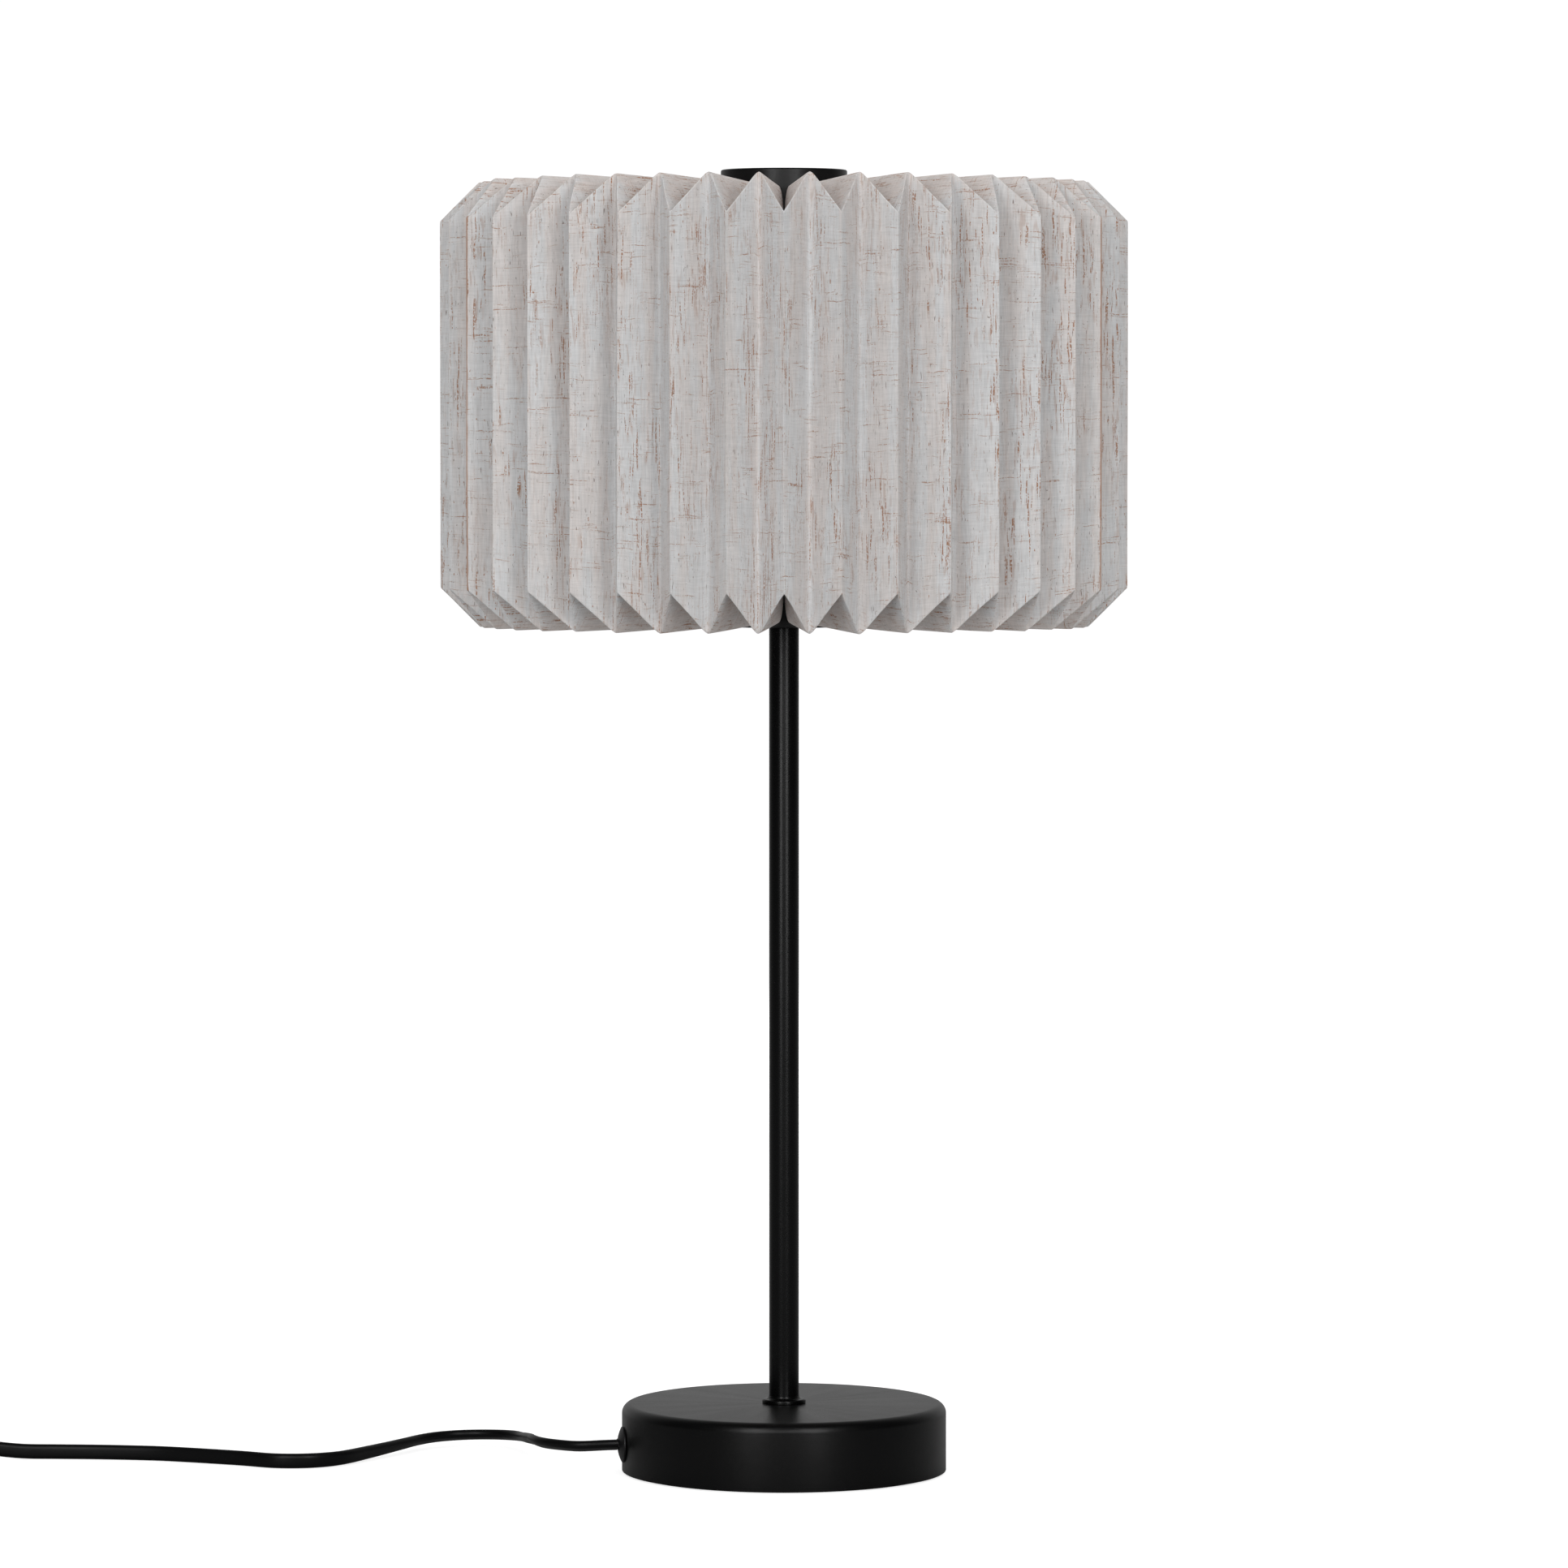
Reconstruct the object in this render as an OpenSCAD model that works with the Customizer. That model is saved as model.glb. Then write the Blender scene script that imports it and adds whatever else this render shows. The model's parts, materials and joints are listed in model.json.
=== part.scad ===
// Table lamp with a round metal foot, a slim stem and a pleated drum shade.
// Millimetres. +Z up, origin at the middle of the foot on the table, front is -Y.

/* [Foot] */
// Outer diameter of the round foot
base_d = 142; // [110:1:200]
// Height of the foot above the table
base_h = 30; // [27:0.5:50]
// Wall of the spun steel foot
base_wall = 1.2; // [0.8:0.1:2]
// Radius of the rounded upper edge of the foot
base_edge_r = 2.2; // [1:0.1:4]
// Thickness of the foam pad under the foot
pad_h = 1.5; // [1:0.1:3]
// Thickness of the cover plate above the pad
plate_t = 1.2; // [0.8:0.1:2]
// Thickness of the cast weight
weight_h = 11; // [6:0.5:11]
// Diameter of the collar at the foot of the stem
foot_collar_d = 19; // [16:0.5:28]
// Height of the collar at the foot of the stem
foot_collar_h = 3.2; // [2:0.1:6]

/* [Stem] */
// Outer diameter of the stem
stem_d = 13; // [12:0.5:18]
// Length of the stem between the foot and the lampholder
stem_len = 340; // [200:5:500]
// Diameter of the threaded nipples in both ends of the stem
nipple_d = 10; // [9:0.5:10]
// Bore of the nipples, where the cord passes
nipple_bore_d = 8; // [7.8:0.1:8.2]

/* [Shade] */
// Diameter over the outer folds of the shade
shade_d = 300; // [220:5:400]
// Height of the shade over its upper and lower corners
shade_h = 193; // [160:1:260]
// Number of pleats all round
pleats = 39; // [31:2:45]
// Radial depth of a pleat in the wall
pleat_depth = 17.3; // [12:0.1:22]
// Height of the sloping shoulder where the wall turns inwards
shoulder_h = 17; // [12:0.5:24]
// How far a ridge sinks between the shoulder and the collar
ridge_sink = 2.4; // [0:0.1:6]
// Thickness of the stiffened cloth
cloth_t = 0.5; // [0.3:0.05:0.6]
// Pleats in the front cloth, the rest are in the back cloth
front_pleats = 14; // [10:2:20]

/* [Collars] */
// Outer diameter of both collars of the shade
collar_d = 55; // [52:0.5:70]
// Wall of the collars
collar_wall = 1.2; // [0.8:0.1:2]
// Height of the upper collar
top_collar_h = 20; // [16:0.5:26]
// How far the upper collar stands above the corners of the shade
top_collar_rise = 5.5; // [2:0.5:8]
// Height of the lower collar
low_collar_h = 10.8; // [8:0.1:14]
// Depth of the lower collar's rim below its seat on the lampholder
shade_drop = 26; // [24:0.5:28]
// Thickness of the lower collar's hub and arms
spider_t = 1.2; // [1:0.1:2]

/* [Lampholder] */
// Outer diameter of the threaded skirt
skirt_d = 39.5; // [38:0.5:40]
// Height of the skirt above its shoulder
skirt_h = 31; // [28:0.5:34]
// Diameter of the shoulder that carries the shade
shoulder_d = 43; // [42:0.5:44]
// Height of the lampholder's cap
holder_cap_h = 20; // [18:0.5:24]
// Outer diameter of the clamping ring's flange
ring_flange_d = 52; // [50:0.5:54]
// Height of the clamping ring
ring_h = 9; // [7:0.5:12]

/* [Bulb] */
// Largest diameter of the bulb
bulb_d = 60; // [45:1:64]
// Overall length of the bulb with its cap
bulb_len = 108; // [98:1:115]
// Diameter of the bulb's screw cap
bulb_cap_d = 26.3; // [26:0.1:26.5]

/* [Cord] */
// Width of the flat cord
cord_w = 6.6; // [6:0.1:6.8]
// Thickness of the flat cord
cord_t = 3.7; // [3.2:0.1:3.9]
// Diameter of the cord gland's dome
gland_d = 15.6; // [14:0.2:18]
// Radius of the coil's outermost turn
coil_r = 41; // [38:1:50]
// Step from one turn of the coil to the next
coil_pitch = 4.8; // [4.6:0.1:6]

/* [Switch and plug] */
// Length of the in-line switch
switch_l = 62; // [58:1:70]
// Width of the in-line switch
switch_w = 26; // [24:0.5:32]
// Height of the in-line switch without its rocker
switch_h = 15; // [14.5:0.5:18]
// Angle through which the rocker tips
rocker_travel = 16; // [12:1:18]
// Width of the plug's body
plug_w = 35.3; // [34:0.1:37]
// Thickness of the plug's body
plug_t = 13.7; // [12:0.1:15]
// Length of the plug's body
plug_l = 36; // [32:1:42]
// Diameter of a plug pin
pin_d = 4; // [3.8:0.1:4.8]
// Length of a plug pin
pin_l = 19; // [17:0.5:19]
// Distance between the plug pins
pin_pitch = 18.6; // [17.5:0.1:19]

/* [Hidden] */
$fn = 48;

// Clearances, named once
thread_gap = 0.05;
slip_gap = 0.1;
glue_gap = 0.2;
part_gap = 0.3;
cord_gap = 0.3;

// Foot, from the table upwards
base_r = base_d / 2;
rim_lift = 0.6;
lip_w = 1.4;
lip_t = pad_h - rim_lift;
bore_r = base_r - base_wall;
weight_top = base_h - base_wall;
weight_bottom = weight_top - weight_h;
weight_inset = 1.5;
washer_t = 1.4;
washer_r = 12;
nut_t = 4;
nut_flats = 14;
nut_bottom = weight_bottom - washer_t - nut_t;
nipple_out = 1;
nipple_grip = 12;
nipple_r = nipple_d / 2 - thread_gap;
nipple_hole_r = nipple_d / 2 + slip_gap;

// Cord gland, on the left and a little towards the front
gland_turn = 189;
gland_z = 13;
gland_rim = 0.6;
gland_dome = 2;
gland_neck_r = cord_w / 2 + 1.5;
gland_clip_r = gland_neck_r + 1.4;
gland_clip_t = 2;
gland_face = base_r + part_gap / 10 + gland_rim + gland_dome;
gland_cord_turn = 27;
gland_slot_in = 8;

// Stem and lampholder, from the foot upwards
stem_r = stem_d / 2;
stem_top = base_h + stem_len;
ferrule_h = 3;
cap_bottom = stem_top + ferrule_h;
cap_boss_h = 5;
cap_boss_r = 8;
cap_wall = 2;
cap_r = skirt_d / 2 - 0.25;
body_bottom = cap_bottom + holder_cap_h;
shoulder_t = 3;
skirt_r = skirt_d / 2;
skirt_wall = 4.2;
skirt_bore_r = skirt_r - skirt_wall;
ledge_t = 1.2;
ledge_w = 2;
skirt_bottom = body_bottom + shoulder_t;
skirt_top = skirt_bottom + skirt_h;
insulator_h = 6;
insulator_bottom = body_bottom + ledge_t;
insulator_top = insulator_bottom + insulator_h;
shell_t = 0.4;
shell_gap = 0.2;
shell_r = bulb_cap_d / 2 + shell_gap;
shell_h = 23;
terminal_x = 7;
terminal_r = 1.5;
terminal_head_r = 2.8;
terminal_head_h = 2.4;
terminal_depth = 4;
tongue_w = 6;
tongue_t = 0.5;
tongue_rise = 1.6;
tongue_reach = 8;

// Clamping ring and the collars of the shade
hub_z = skirt_bottom;
hub_hole_r = skirt_r + 0.5;
hub_r = hub_hole_r + 4;
arm_turn = 18;
arm_count = 3;
arm_bend = 5;
collar_r = collar_d / 2;
bead_r = 0.9;
low_collar_z = hub_z - shade_drop;
ring_z = hub_z + spider_t + slip_gap;
ring_flange_t = 2;
ring_barrel_r = skirt_r + 3;
ring_ribs = 24;
rib_w = 1.6;
rib_out = 0.8;

// Folded cloth of the shade
pitch_turn = 360 / pleats;
fold_r = shade_d / 2;
valley_r = fold_r - pleat_depth;
seat_r = collar_r + glue_gap;
shade_bottom = low_collar_z;
shade_top = shade_bottom + shade_h;
strip_w = norm([fold_r - valley_r * cos(pitch_turn / 2), valley_r * sin(pitch_turn / 2)]);
seat_half = seat_r * sin(pitch_turn / 2);
seat_fall = sqrt(strip_w * strip_w - seat_half * seat_half);
fin_steps = 4;
top_collar_z = shade_top + top_collar_rise - top_collar_h;

// Bulb, standing on the centre contact
contact_gap = 0.2;
bulb_tip = insulator_top + tongue_t + tongue_rise + contact_gap;
bulb_tip_h = 0.8;
bulb_glass_ring_h = 2.7;
bulb_cap_z = bulb_tip + bulb_tip_h + bulb_glass_ring_h;
bulb_cap_h = 21;
bulb_neck_z = bulb_cap_z + bulb_cap_h;
bulb_r = bulb_d / 2;
bulb_top = bulb_tip + bulb_len;
bulb_mid = bulb_top - bulb_r;
bulb_neck_r = bulb_cap_d / 2 - 0.1;
bulb_tip_r = 4.5;

// In-line switch, past the left edge of the photographed view
switch_x = -409;
switch_y = 36;
switch_split = switch_h / 2;
switch_corner = 9;
switch_wall = 2;
switch_roof = 3;
switch_arch_r = 200;
slot_depth = 9;
rocker_l = 19.2;
rocker_w = 10.6;
rocker_play = 0.4;
pivot_z = switch_h - 2.8;
pivot_r = 1.2;
pivot_reach = 1.4;
pivot_gap = 0.05;
lug_t = 2.4;
lug_l = 7;
screw_x = 22;
screw_y = 7;
screw_r = 1.4;
screw_head_r = 2.6;
screw_head_h = 1.6;
post_r = 3.4;
terminal_block = [7, 5, 6];
terminal_block_x = 17;
terminal_wire_r = 1.1;

// Coil of spare cord, in two layers
coil_x = -494;
coil_y = switch_y + coil_r;
coil_lift = 0.7;
coil_layer = cord_w + 0.7;
coil_z = coil_lift + cord_w / 2;
coil_turns = 2.5;
coil_rings = 24;
coil_lead = 7;
tie_turn = 180;
tie_w = 8;
tie_t = 0.6;
tie_gap = 0.5;

// Plug, lying behind the coil
plug_x = -449;
plug_y = coil_y + coil_r + 1;
plug_z = plug_t / 2;
sleeve_l = 22;
sleeve_r0 = 4.4;
sleeve_r1 = 5.8;
sleeve_grooves = 4;
groove_w = 1.6;
groove_d = 0.7;
plug_neck_w = 14;
plug_corner_r = 3;

// Route of the cord from the gland to the switch: x, y, z and the turn of its wide side
RUN = [
    [-79, -12.5, 12.9, 27], [-89.5, -12, 12.4, 27], [-98.5, -7.5, 12.4, 27], [-105.5, 0, 12.3, 26],
    [-109, 9.5, 12, 23], [-110.5, 22, 10.8, 20], [-112.5, 34, 9.5, 16], [-114, 46, 8.1, 13],
    [-115.5, 57.5, 6.7, 10], [-119, 67.5, 6.1, 7], [-126, 75.5, 5.5, 5], [-136, 79.5, 5.1, 6],
    [-146.5, 79.5, 4.8, 11], [-156, 75, 4.6, 20], [-163.5, 67.5, 4.3, 30], [-170, 56, 4.1, 40],
    [-177.5, 43.5, 3.8, 50], [-185, 31, 3.6, 62], [-192, 19.5, 3.5, 70], [-198.5, 12.5, 3.4, 76],
    [-207, 7.5, 3.4, 82], [-216, 6, 3.4, 87], [-225.5, 7.5, 3.4, 90], [-237, 14, 3.4, 90],
    [-249, 19.5, 3.4, 90], [-262, 25, 3.4, 90], [-276, 30, 3.4, 90], [-291, 33, 3.4, 90],
    [-306, 35, 3.4, 90], [-322, 36, 3.4, 90], [-337, 36, 3.6, 90], [-350, 36, 4.8, 90],
    [-361, 36, 6.4, 90]
];
// Route from the switch to the coil
LEAD = [[-455, 36, 6.5, 90], [-466, 36, 4.8, 90], [-477, 36, 4, 90]];
// Route from the coil to the plug
TAIL = [
    [-482, 118, 11.3, 90], [-474, 118.2, 10.5, 90], [-465.5, 118.7, 8.2, 90],
    [-457, 119, 6.85, 90]
];

gland_dir = [cos(gland_turn), sin(gland_turn), 0];
switch_near = [switch_x + switch_l / 2, switch_y, switch_split, 90];
switch_far = [switch_x - switch_l / 2, switch_y, switch_split, 90];
cord_seat = 5;
along_x = [cord_seat, 0, 0, 0];

// A point of the lamp from its radius, its turn from the front and its height
function around(r, turn, z) = [r * sin(turn), -r * cos(turn), z];
function mix(a, b, t) = a + (b - a) * t;
function unit(v) = v / norm(v);
function xyz(p) = [p[0], p[1], p[2]];

// Outline of the flat cord: eight points, wide along the first axis
function cord_outline() = let (
        w = cord_w / 2, t = cord_t / 2, cut = cord_t / 3
    ) [[w, -t + cut], [w, t - cut], [w - cut, t], [-w + cut, t],
       [-w, t - cut], [-w, -t + cut], [-w + cut, -t], [w - cut, -t]];

// Outline of the cord in the coil: six points, wide along the first axis
function coil_outline() = let (w = cord_w / 2, t = cord_t / 2)
    [[w, 0], [w - t, t], [-w + t, t], [-w, 0], [-w + t, -t], [w - t, -t]];

// Heading at ring i of a route
function heading(path, i) = let (
        a = xyz(path[max(i - 1, 0)]), b = xyz(path[min(i + 1, len(path) - 1)])
    ) unit(b - a);

// Rings of a tube along a route. side is the level direction across the route, or undef
function tube_rings(path, outline, side) = [
    for (i = [0 : len(path) - 1]) let (
        ahead = heading(path, i),
        across = is_undef(side) ? unit(cross([0, 0, 1], ahead)) : side,
        up = cross(ahead, across),
        turn = path[i][3],
        wide = across * cos(turn) + up * sin(turn),
        thin = up * cos(turn) - across * sin(turn)
    ) for (p = outline) xyz(path[i]) + wide * p[0] + thin * p[1]
];

function tube_faces(rings, n) = concat(
    [for (k = [1 : n - 2]) [0, k, k + 1]],
    [for (i = [0 : rings - 2]) for (k = [0 : n - 1]) let (a = i * n + k, b = i * n + (k + 1) % n)
        [a, a + n, b]],
    [for (i = [0 : rings - 2]) for (k = [0 : n - 1]) let (a = i * n + k, b = i * n + (k + 1) % n)
        [b, a + n, b + n]],
    [for (k = [1 : n - 2]) let (e = (rings - 1) * n) [e, e + k + 1, e + k]]
);

module tube(path, outline, side = undef) {
    polyhedron(tube_rings(path, outline, side), tube_faces(len(path), len(outline)), 4);
}

// Coil: the tube spirals in on the lower layer, climbs while it reverses, and spirals out
coil_total = 2 * coil_turns + 0.5;
coil_half = coil_total / 2;
function coil_radius(n) = coil_r - coil_pitch * (n < coil_half ? n : coil_total - n);
function coil_climb(n) = let (t = (n - coil_turns) / 0.5)
    t <= 0 ? 0 : t >= 1 ? 1 : (1 - cos(180 * t)) / 2;
function coil_point(n) = [
    coil_x + coil_radius(n) * cos(270 - 360 * n),
    coil_y + coil_radius(n) * sin(270 - 360 * n),
    coil_z + coil_layer * coil_climb(n),
    90
];
coil_last = coil_total * coil_rings;
COIL = concat(
    [coil_point(0) + [coil_lead, 0, 0, 0]],
    [for (i = [0 : coil_last]) coil_point(i / coil_rings)],
    [coil_point(coil_total) + [coil_lead, 0, 0, 0]]
);

// Least gap between turns, measured between the outlines at equal turns about the centre
function outline_at(n) = [for (p = coil_outline())
    [coil_radius(n) + p[1], coil_layer * coil_climb(n) + p[0]]];
function least_gap(a, b) = min([for (p = a) for (q = b) norm(p - q)]);
coil_gap = min([for (i = [0 : coil_last]) for (k = [1 : 5])
    if (i + k * coil_rings <= coil_last)
        least_gap(outline_at(i / coil_rings), outline_at(i / coil_rings + k))]);
echo(least_gap_in_coil = coil_gap);

// Cloth of the shade: stations along a mountain fold and along a valley fold, as radius and height
function straight(p, q) = [for (i = [0 : fin_steps]) mix(p, q, i / fin_steps)];
mountain = concat(
    straight([seat_r, shade_top - ridge_sink - seat_fall], [fold_r, shade_top - shoulder_h]),
    straight([fold_r, shade_bottom + shoulder_h], [seat_r, shade_bottom + ridge_sink + seat_fall])
);
valley = concat(
    straight([seat_r, shade_top - ridge_sink], [valley_r, shade_top]),
    straight([valley_r, shade_bottom], [seat_r, shade_bottom + ridge_sink])
);
stations = len(mountain);
wall_a = fin_steps;
wall_b = fin_steps + 1;

// Distance from face to face of the cloth, measured across a fold
function across_fold(half, depth) = cloth_t * norm([half, depth]) / half;
function in_wall(s) = s == wall_a || s == wall_b;
function inward(line, other, s) = let (
        half = other[s][0] * sin(pitch_turn / 2),
        fin = across_fold(half, valley[s][1] - mountain[s][1]),
        depth = abs(line[s][0] - other[s][0] * cos(pitch_turn / 2)),
        wall = in_wall(s) ? across_fold(half, depth) : 0,
        sense = s <= wall_a ? 1 : -1
    ) [line[s][0] - wall, line[s][1] - sense * fin];

function cloth_points(first, last) = concat(
    [for (c = [first : last]) for (s = [0 : stations - 1]) let (
            p = c % 2 == 0 ? mountain[s] : valley[s]
        ) around(p[0], c * pitch_turn / 2, p[1])],
    [for (c = [first : last]) for (s = [0 : stations - 1]) let (
            p = c % 2 == 0 ? inward(mountain, valley, s) : inward(valley, mountain, s)
        ) around(p[0], c * pitch_turn / 2, p[1])]
);

function two(a, b, c, d, flip) = flip ? [[a, b, d], [b, c, d]] : [[a, b, c], [a, c, d]];
function join(lists) = [for (l = lists) for (x = l) x];
function cloth_faces(columns) = let (m = stations, inner = columns * stations) join(concat(
    [for (c = [0 : columns - 2]) for (s = [0 : m - 2]) let (a = c * m + s)
        two(a, a + 1, a + m + 1, a + m, c % 2 == 0)],
    [for (c = [0 : columns - 2]) for (s = [0 : m - 2]) let (a = inner + c * m + s)
        two(a + m, a + m + 1, a + 1, a, c % 2 == 1)],
    [for (c = [0 : columns - 2]) let (a = c * m) two(a, a + m, inner + a + m, inner + a, false)],
    [for (c = [0 : columns - 2]) let (a = c * m + m - 1)
        two(a + m, a, inner + a, inner + a + m, false)],
    [for (s = [0 : m - 2]) two(s + 1, s, inner + s, inner + s + 1, false)],
    [for (s = [0 : m - 2]) let (a = (columns - 1) * m + s)
        two(a, a + 1, inner + a + 1, inner + a, false)]
));

module cloth(first, last) {
    polyhedron(cloth_points(first, last), cloth_faces(last - first + 1), 4);
}

// Shared forms
module disc(r, z0, z1) {
    translate([0, 0, z0]) cylinder(r = r, h = z1 - z0);
}

module ring(r_out, r_in, z0, z1) {
    rotate_extrude() translate([r_in, z0]) square([r_out - r_in, z1 - z0]);
}

// Profile of a drum with a rounded upper edge
module drum_profile(r, h, edge) {
    square([r - edge, h]);
    square([r, h - edge]);
    translate([r - edge, h - edge]) circle(edge);
}

module pill(l, w, r) {
    square([l - 2 * r, w], center = true);
    square([l, w - 2 * r], center = true);
    for (sx = [-1, 1]) for (sy = [-1, 1]) translate([sx * (l / 2 - r), sy * (w / 2 - r)]) circle(r);
}

// Slot for the flat cord, wide along X, with its clearance
module cord_slot() {
    w = cord_w + 2 * cord_gap;
    t = cord_t + 2 * cord_gap;
    square([w - t, t], center = true);
    for (s = [-1, 1]) translate([s * (w - t) / 2, 0]) circle(d = t);
}

// Places its children with +Z along the gland's axis and +X level
module at_gland() {
    rotate([0, 0, gland_turn]) translate([0, 0, gland_z]) rotate([90, 0, 90]) children();
}

// Foot
module base_shell() {
    color([0.09, 0.09, 0.09]) difference() {
        rotate_extrude($fn = 96) {
            difference() {
                translate([0, rim_lift]) drum_profile(base_r, base_h - rim_lift, base_edge_r);
                drum_profile(bore_r, weight_top, max(base_edge_r - base_wall, 0.3));
            }
            translate([bore_r - lip_w, rim_lift]) square([lip_w + base_wall / 2, lip_t]);
        }
        disc(nipple_hole_r, weight_top - 1, base_h + 1);
        at_gland() disc(gland_neck_r + slip_gap, bore_r - 3, base_r + 3);
    }
}

module base_weight() {
    edge = 3;
    r = bore_r - weight_inset;
    color([0.3, 0.3, 0.31]) difference() {
        rotate_extrude($fn = 96) polygon([
            [0, weight_bottom], [r - edge, weight_bottom], [r, weight_bottom + edge],
            [r, weight_top - edge], [r - edge, weight_top], [0, weight_top]
        ]);
        disc(nipple_hole_r, weight_bottom - 1, weight_top + 1);
    }
}

module base_plate() {
    color([0.55, 0.55, 0.56]) disc(bore_r - part_gap, pad_h, pad_h + plate_t, $fn = 96);
}

module base_pad() {
    color([0.12, 0.12, 0.12]) disc(bore_r - lip_w - part_gap, 0, pad_h, $fn = 96);
}

module lower_washer() {
    color([0.7, 0.7, 0.72]) ring(washer_r, nipple_hole_r, weight_bottom - washer_t, weight_bottom);
}

module lower_nut() {
    color([0.72, 0.66, 0.45]) difference() {
        translate([0, 0, nut_bottom]) cylinder(d = nut_flats / cos(30), h = nut_t, $fn = 6);
        disc(nipple_d / 2, nut_bottom - 1, nut_bottom + nut_t + 1);
    }
}

module lower_nipple() {
    color([0.72, 0.66, 0.45])
        ring(nipple_r, nipple_bore_d / 2, nut_bottom - nipple_out, base_h + nipple_grip);
}

module foot_collar() {
    flat = foot_collar_h * 0.35;
    color([0.09, 0.09, 0.09]) rotate_extrude($fn = 64) polygon([
        [stem_r + slip_gap, base_h], [foot_collar_d / 2, base_h],
        [foot_collar_d / 2, base_h + flat], [stem_r + 1.1, base_h + foot_collar_h - 0.4],
        [stem_r + 0.6, base_h + foot_collar_h], [stem_r + slip_gap, base_h + foot_collar_h]
    ]);
}

module cord_gland() {
    seat = base_r + part_gap / 10;
    dome_r = (pow(gland_d / 2, 2) + pow(gland_dome, 2)) / (2 * gland_dome);
    clip_top = sqrt(pow(bore_r, 2) - pow(gland_clip_r, 2)) - part_gap / 10;
    color([0.05, 0.05, 0.05]) at_gland() difference() {
        union() {
            disc(gland_d / 2, seat, seat + gland_rim);
            intersection() {
                disc(gland_d / 2, seat, gland_face);
                translate([0, 0, gland_face - dome_r]) sphere(dome_r, $fn = 96);
            }
            disc(gland_neck_r, clip_top - gland_clip_t, seat + gland_rim);
            disc(gland_clip_r, clip_top - gland_clip_t, clip_top);
        }
        translate([0, 0, bore_r - gland_slot_in]) rotate([0, 0, gland_cord_turn])
            linear_extrude(2 * gland_slot_in) cord_slot();
    }
}

// Stem
module stem_tube() {
    chamfer = 0.6;
    color([0.09, 0.09, 0.09]) rotate_extrude() polygon([
        [nipple_d / 2, base_h], [stem_r, base_h], [stem_r, stem_top - chamfer],
        [stem_r - chamfer, stem_top], [nipple_d / 2, stem_top]
    ]);
}

module stem_ferrule() {
    chamfer = 1;
    r = stem_r - 0.6;
    color([0.07, 0.07, 0.07]) rotate_extrude() polygon([
        [nipple_d / 2, stem_top], [r, stem_top], [r, stem_top + ferrule_h - chamfer],
        [r - chamfer / 2, stem_top + ferrule_h], [nipple_d / 2, stem_top + ferrule_h]
    ]);
}

module upper_nipple() {
    color([0.72, 0.66, 0.45])
        ring(nipple_r, nipple_bore_d / 2, stem_top - nipple_grip, cap_bottom + cap_boss_h + 1);
}

// Cord inside the lamp, from the gland under the weight and up the stem
module cord_inner() {
    low = pad_h + plate_t + cord_t / 2 + 0.4;
    reach = function (r, z, turn) [gland_dir[0] * r, gland_dir[1] * r, z, turn];
    route = [
        reach(gland_face, gland_z, -gland_cord_turn), reach(bore_r - 6, gland_z, -gland_cord_turn),
        reach(bore_r * 0.72, mix(low, gland_z, 0.85), -14), reach(bore_r * 0.5, mix(low, gland_z, 0.4), -5),
        reach(bore_r * 0.3, low + 0.6, 0), reach(13, low, 0), reach(7, low + 0.9, 0),
        reach(2.6, low + 3.2, 0), reach(0.5, low + 6, 0), reach(0, nut_bottom + 2, 0),
        reach(0, base_h, 0), reach(0, stem_top - nipple_grip, 0), reach(0, stem_top, 0),
        reach(0, cap_bottom + cap_boss_h + 2, 0)
    ];
    level = [gland_dir[1], -gland_dir[0], 0];
    color([0.06, 0.06, 0.06]) tube(route, cord_outline(), level);
}

// The two insulated cores, from the end of the cord to the terminals
module cord_cores() {
    core = 1.0;
    z0 = cap_bottom + cap_boss_h + 2;
    z1 = insulator_bottom - terminal_head_h - 0.4;
    round_outline = [for (k = [0 : 7]) [core * cos(45 * k + 22.5), core * sin(45 * k + 22.5)]];
    for (s = [-1, 1]) color(s > 0 ? [0.45, 0.26, 0.13] : [0.2, 0.35, 0.6]) tube([
        [s * 1.6, 0, z0, 0], [s * 2.2, 0, mix(z0, z1, 0.3), 0],
        [s * terminal_x * 0.7, 0, mix(z0, z1, 0.65), 0], [s * terminal_x, 0, z1, 0]
    ], round_outline, [0, 1, 0]);
}

// Lampholder
module holder_cap() {
    z = cap_bottom;
    h = holder_cap_h;
    w = cap_wall;
    color([0.04, 0.04, 0.04]) rotate_extrude($fn = 64) polygon([
        [nipple_d / 2, z], [cap_boss_r, z], [cap_boss_r + 1, z + 1.2],
        [cap_r * 0.78, z + h * 0.2], [cap_r * 0.93, z + h * 0.32], [cap_r, z + h * 0.5],
        [cap_r, z + h], [cap_r - w, z + h], [cap_r - w, z + h * 0.5],
        [cap_r * 0.93 - w, z + h * 0.36], [cap_r * 0.78 - w, z + cap_boss_h],
        [nipple_d / 2, z + cap_boss_h]
    ]);
}

module holder_body() {
    lead = 1;
    color([0.04, 0.04, 0.04]) rotate_extrude($fn = 64) polygon([
        [skirt_bore_r - ledge_w, body_bottom], [shoulder_d / 2, body_bottom],
        [shoulder_d / 2, skirt_bottom], [skirt_r, skirt_bottom], [skirt_r, skirt_top - lead],
        [skirt_r - lead, skirt_top], [skirt_bore_r, skirt_top],
        [skirt_bore_r, insulator_bottom], [skirt_bore_r - ledge_w, insulator_bottom]
    ]);
}

module holder_insulator() {
    color([0.93, 0.91, 0.86]) difference() {
        disc(skirt_bore_r - slip_gap, insulator_bottom, insulator_top);
        for (s = [-1, 1]) translate([s * terminal_x, 0, 0])
            disc(terminal_r + thread_gap, insulator_bottom - 1, insulator_bottom + terminal_depth);
    }
}

module screw_shell() {
    color([0.8, 0.66, 0.3]) ring(shell_r + shell_t, shell_r, insulator_top, insulator_top + shell_h);
}

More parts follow.
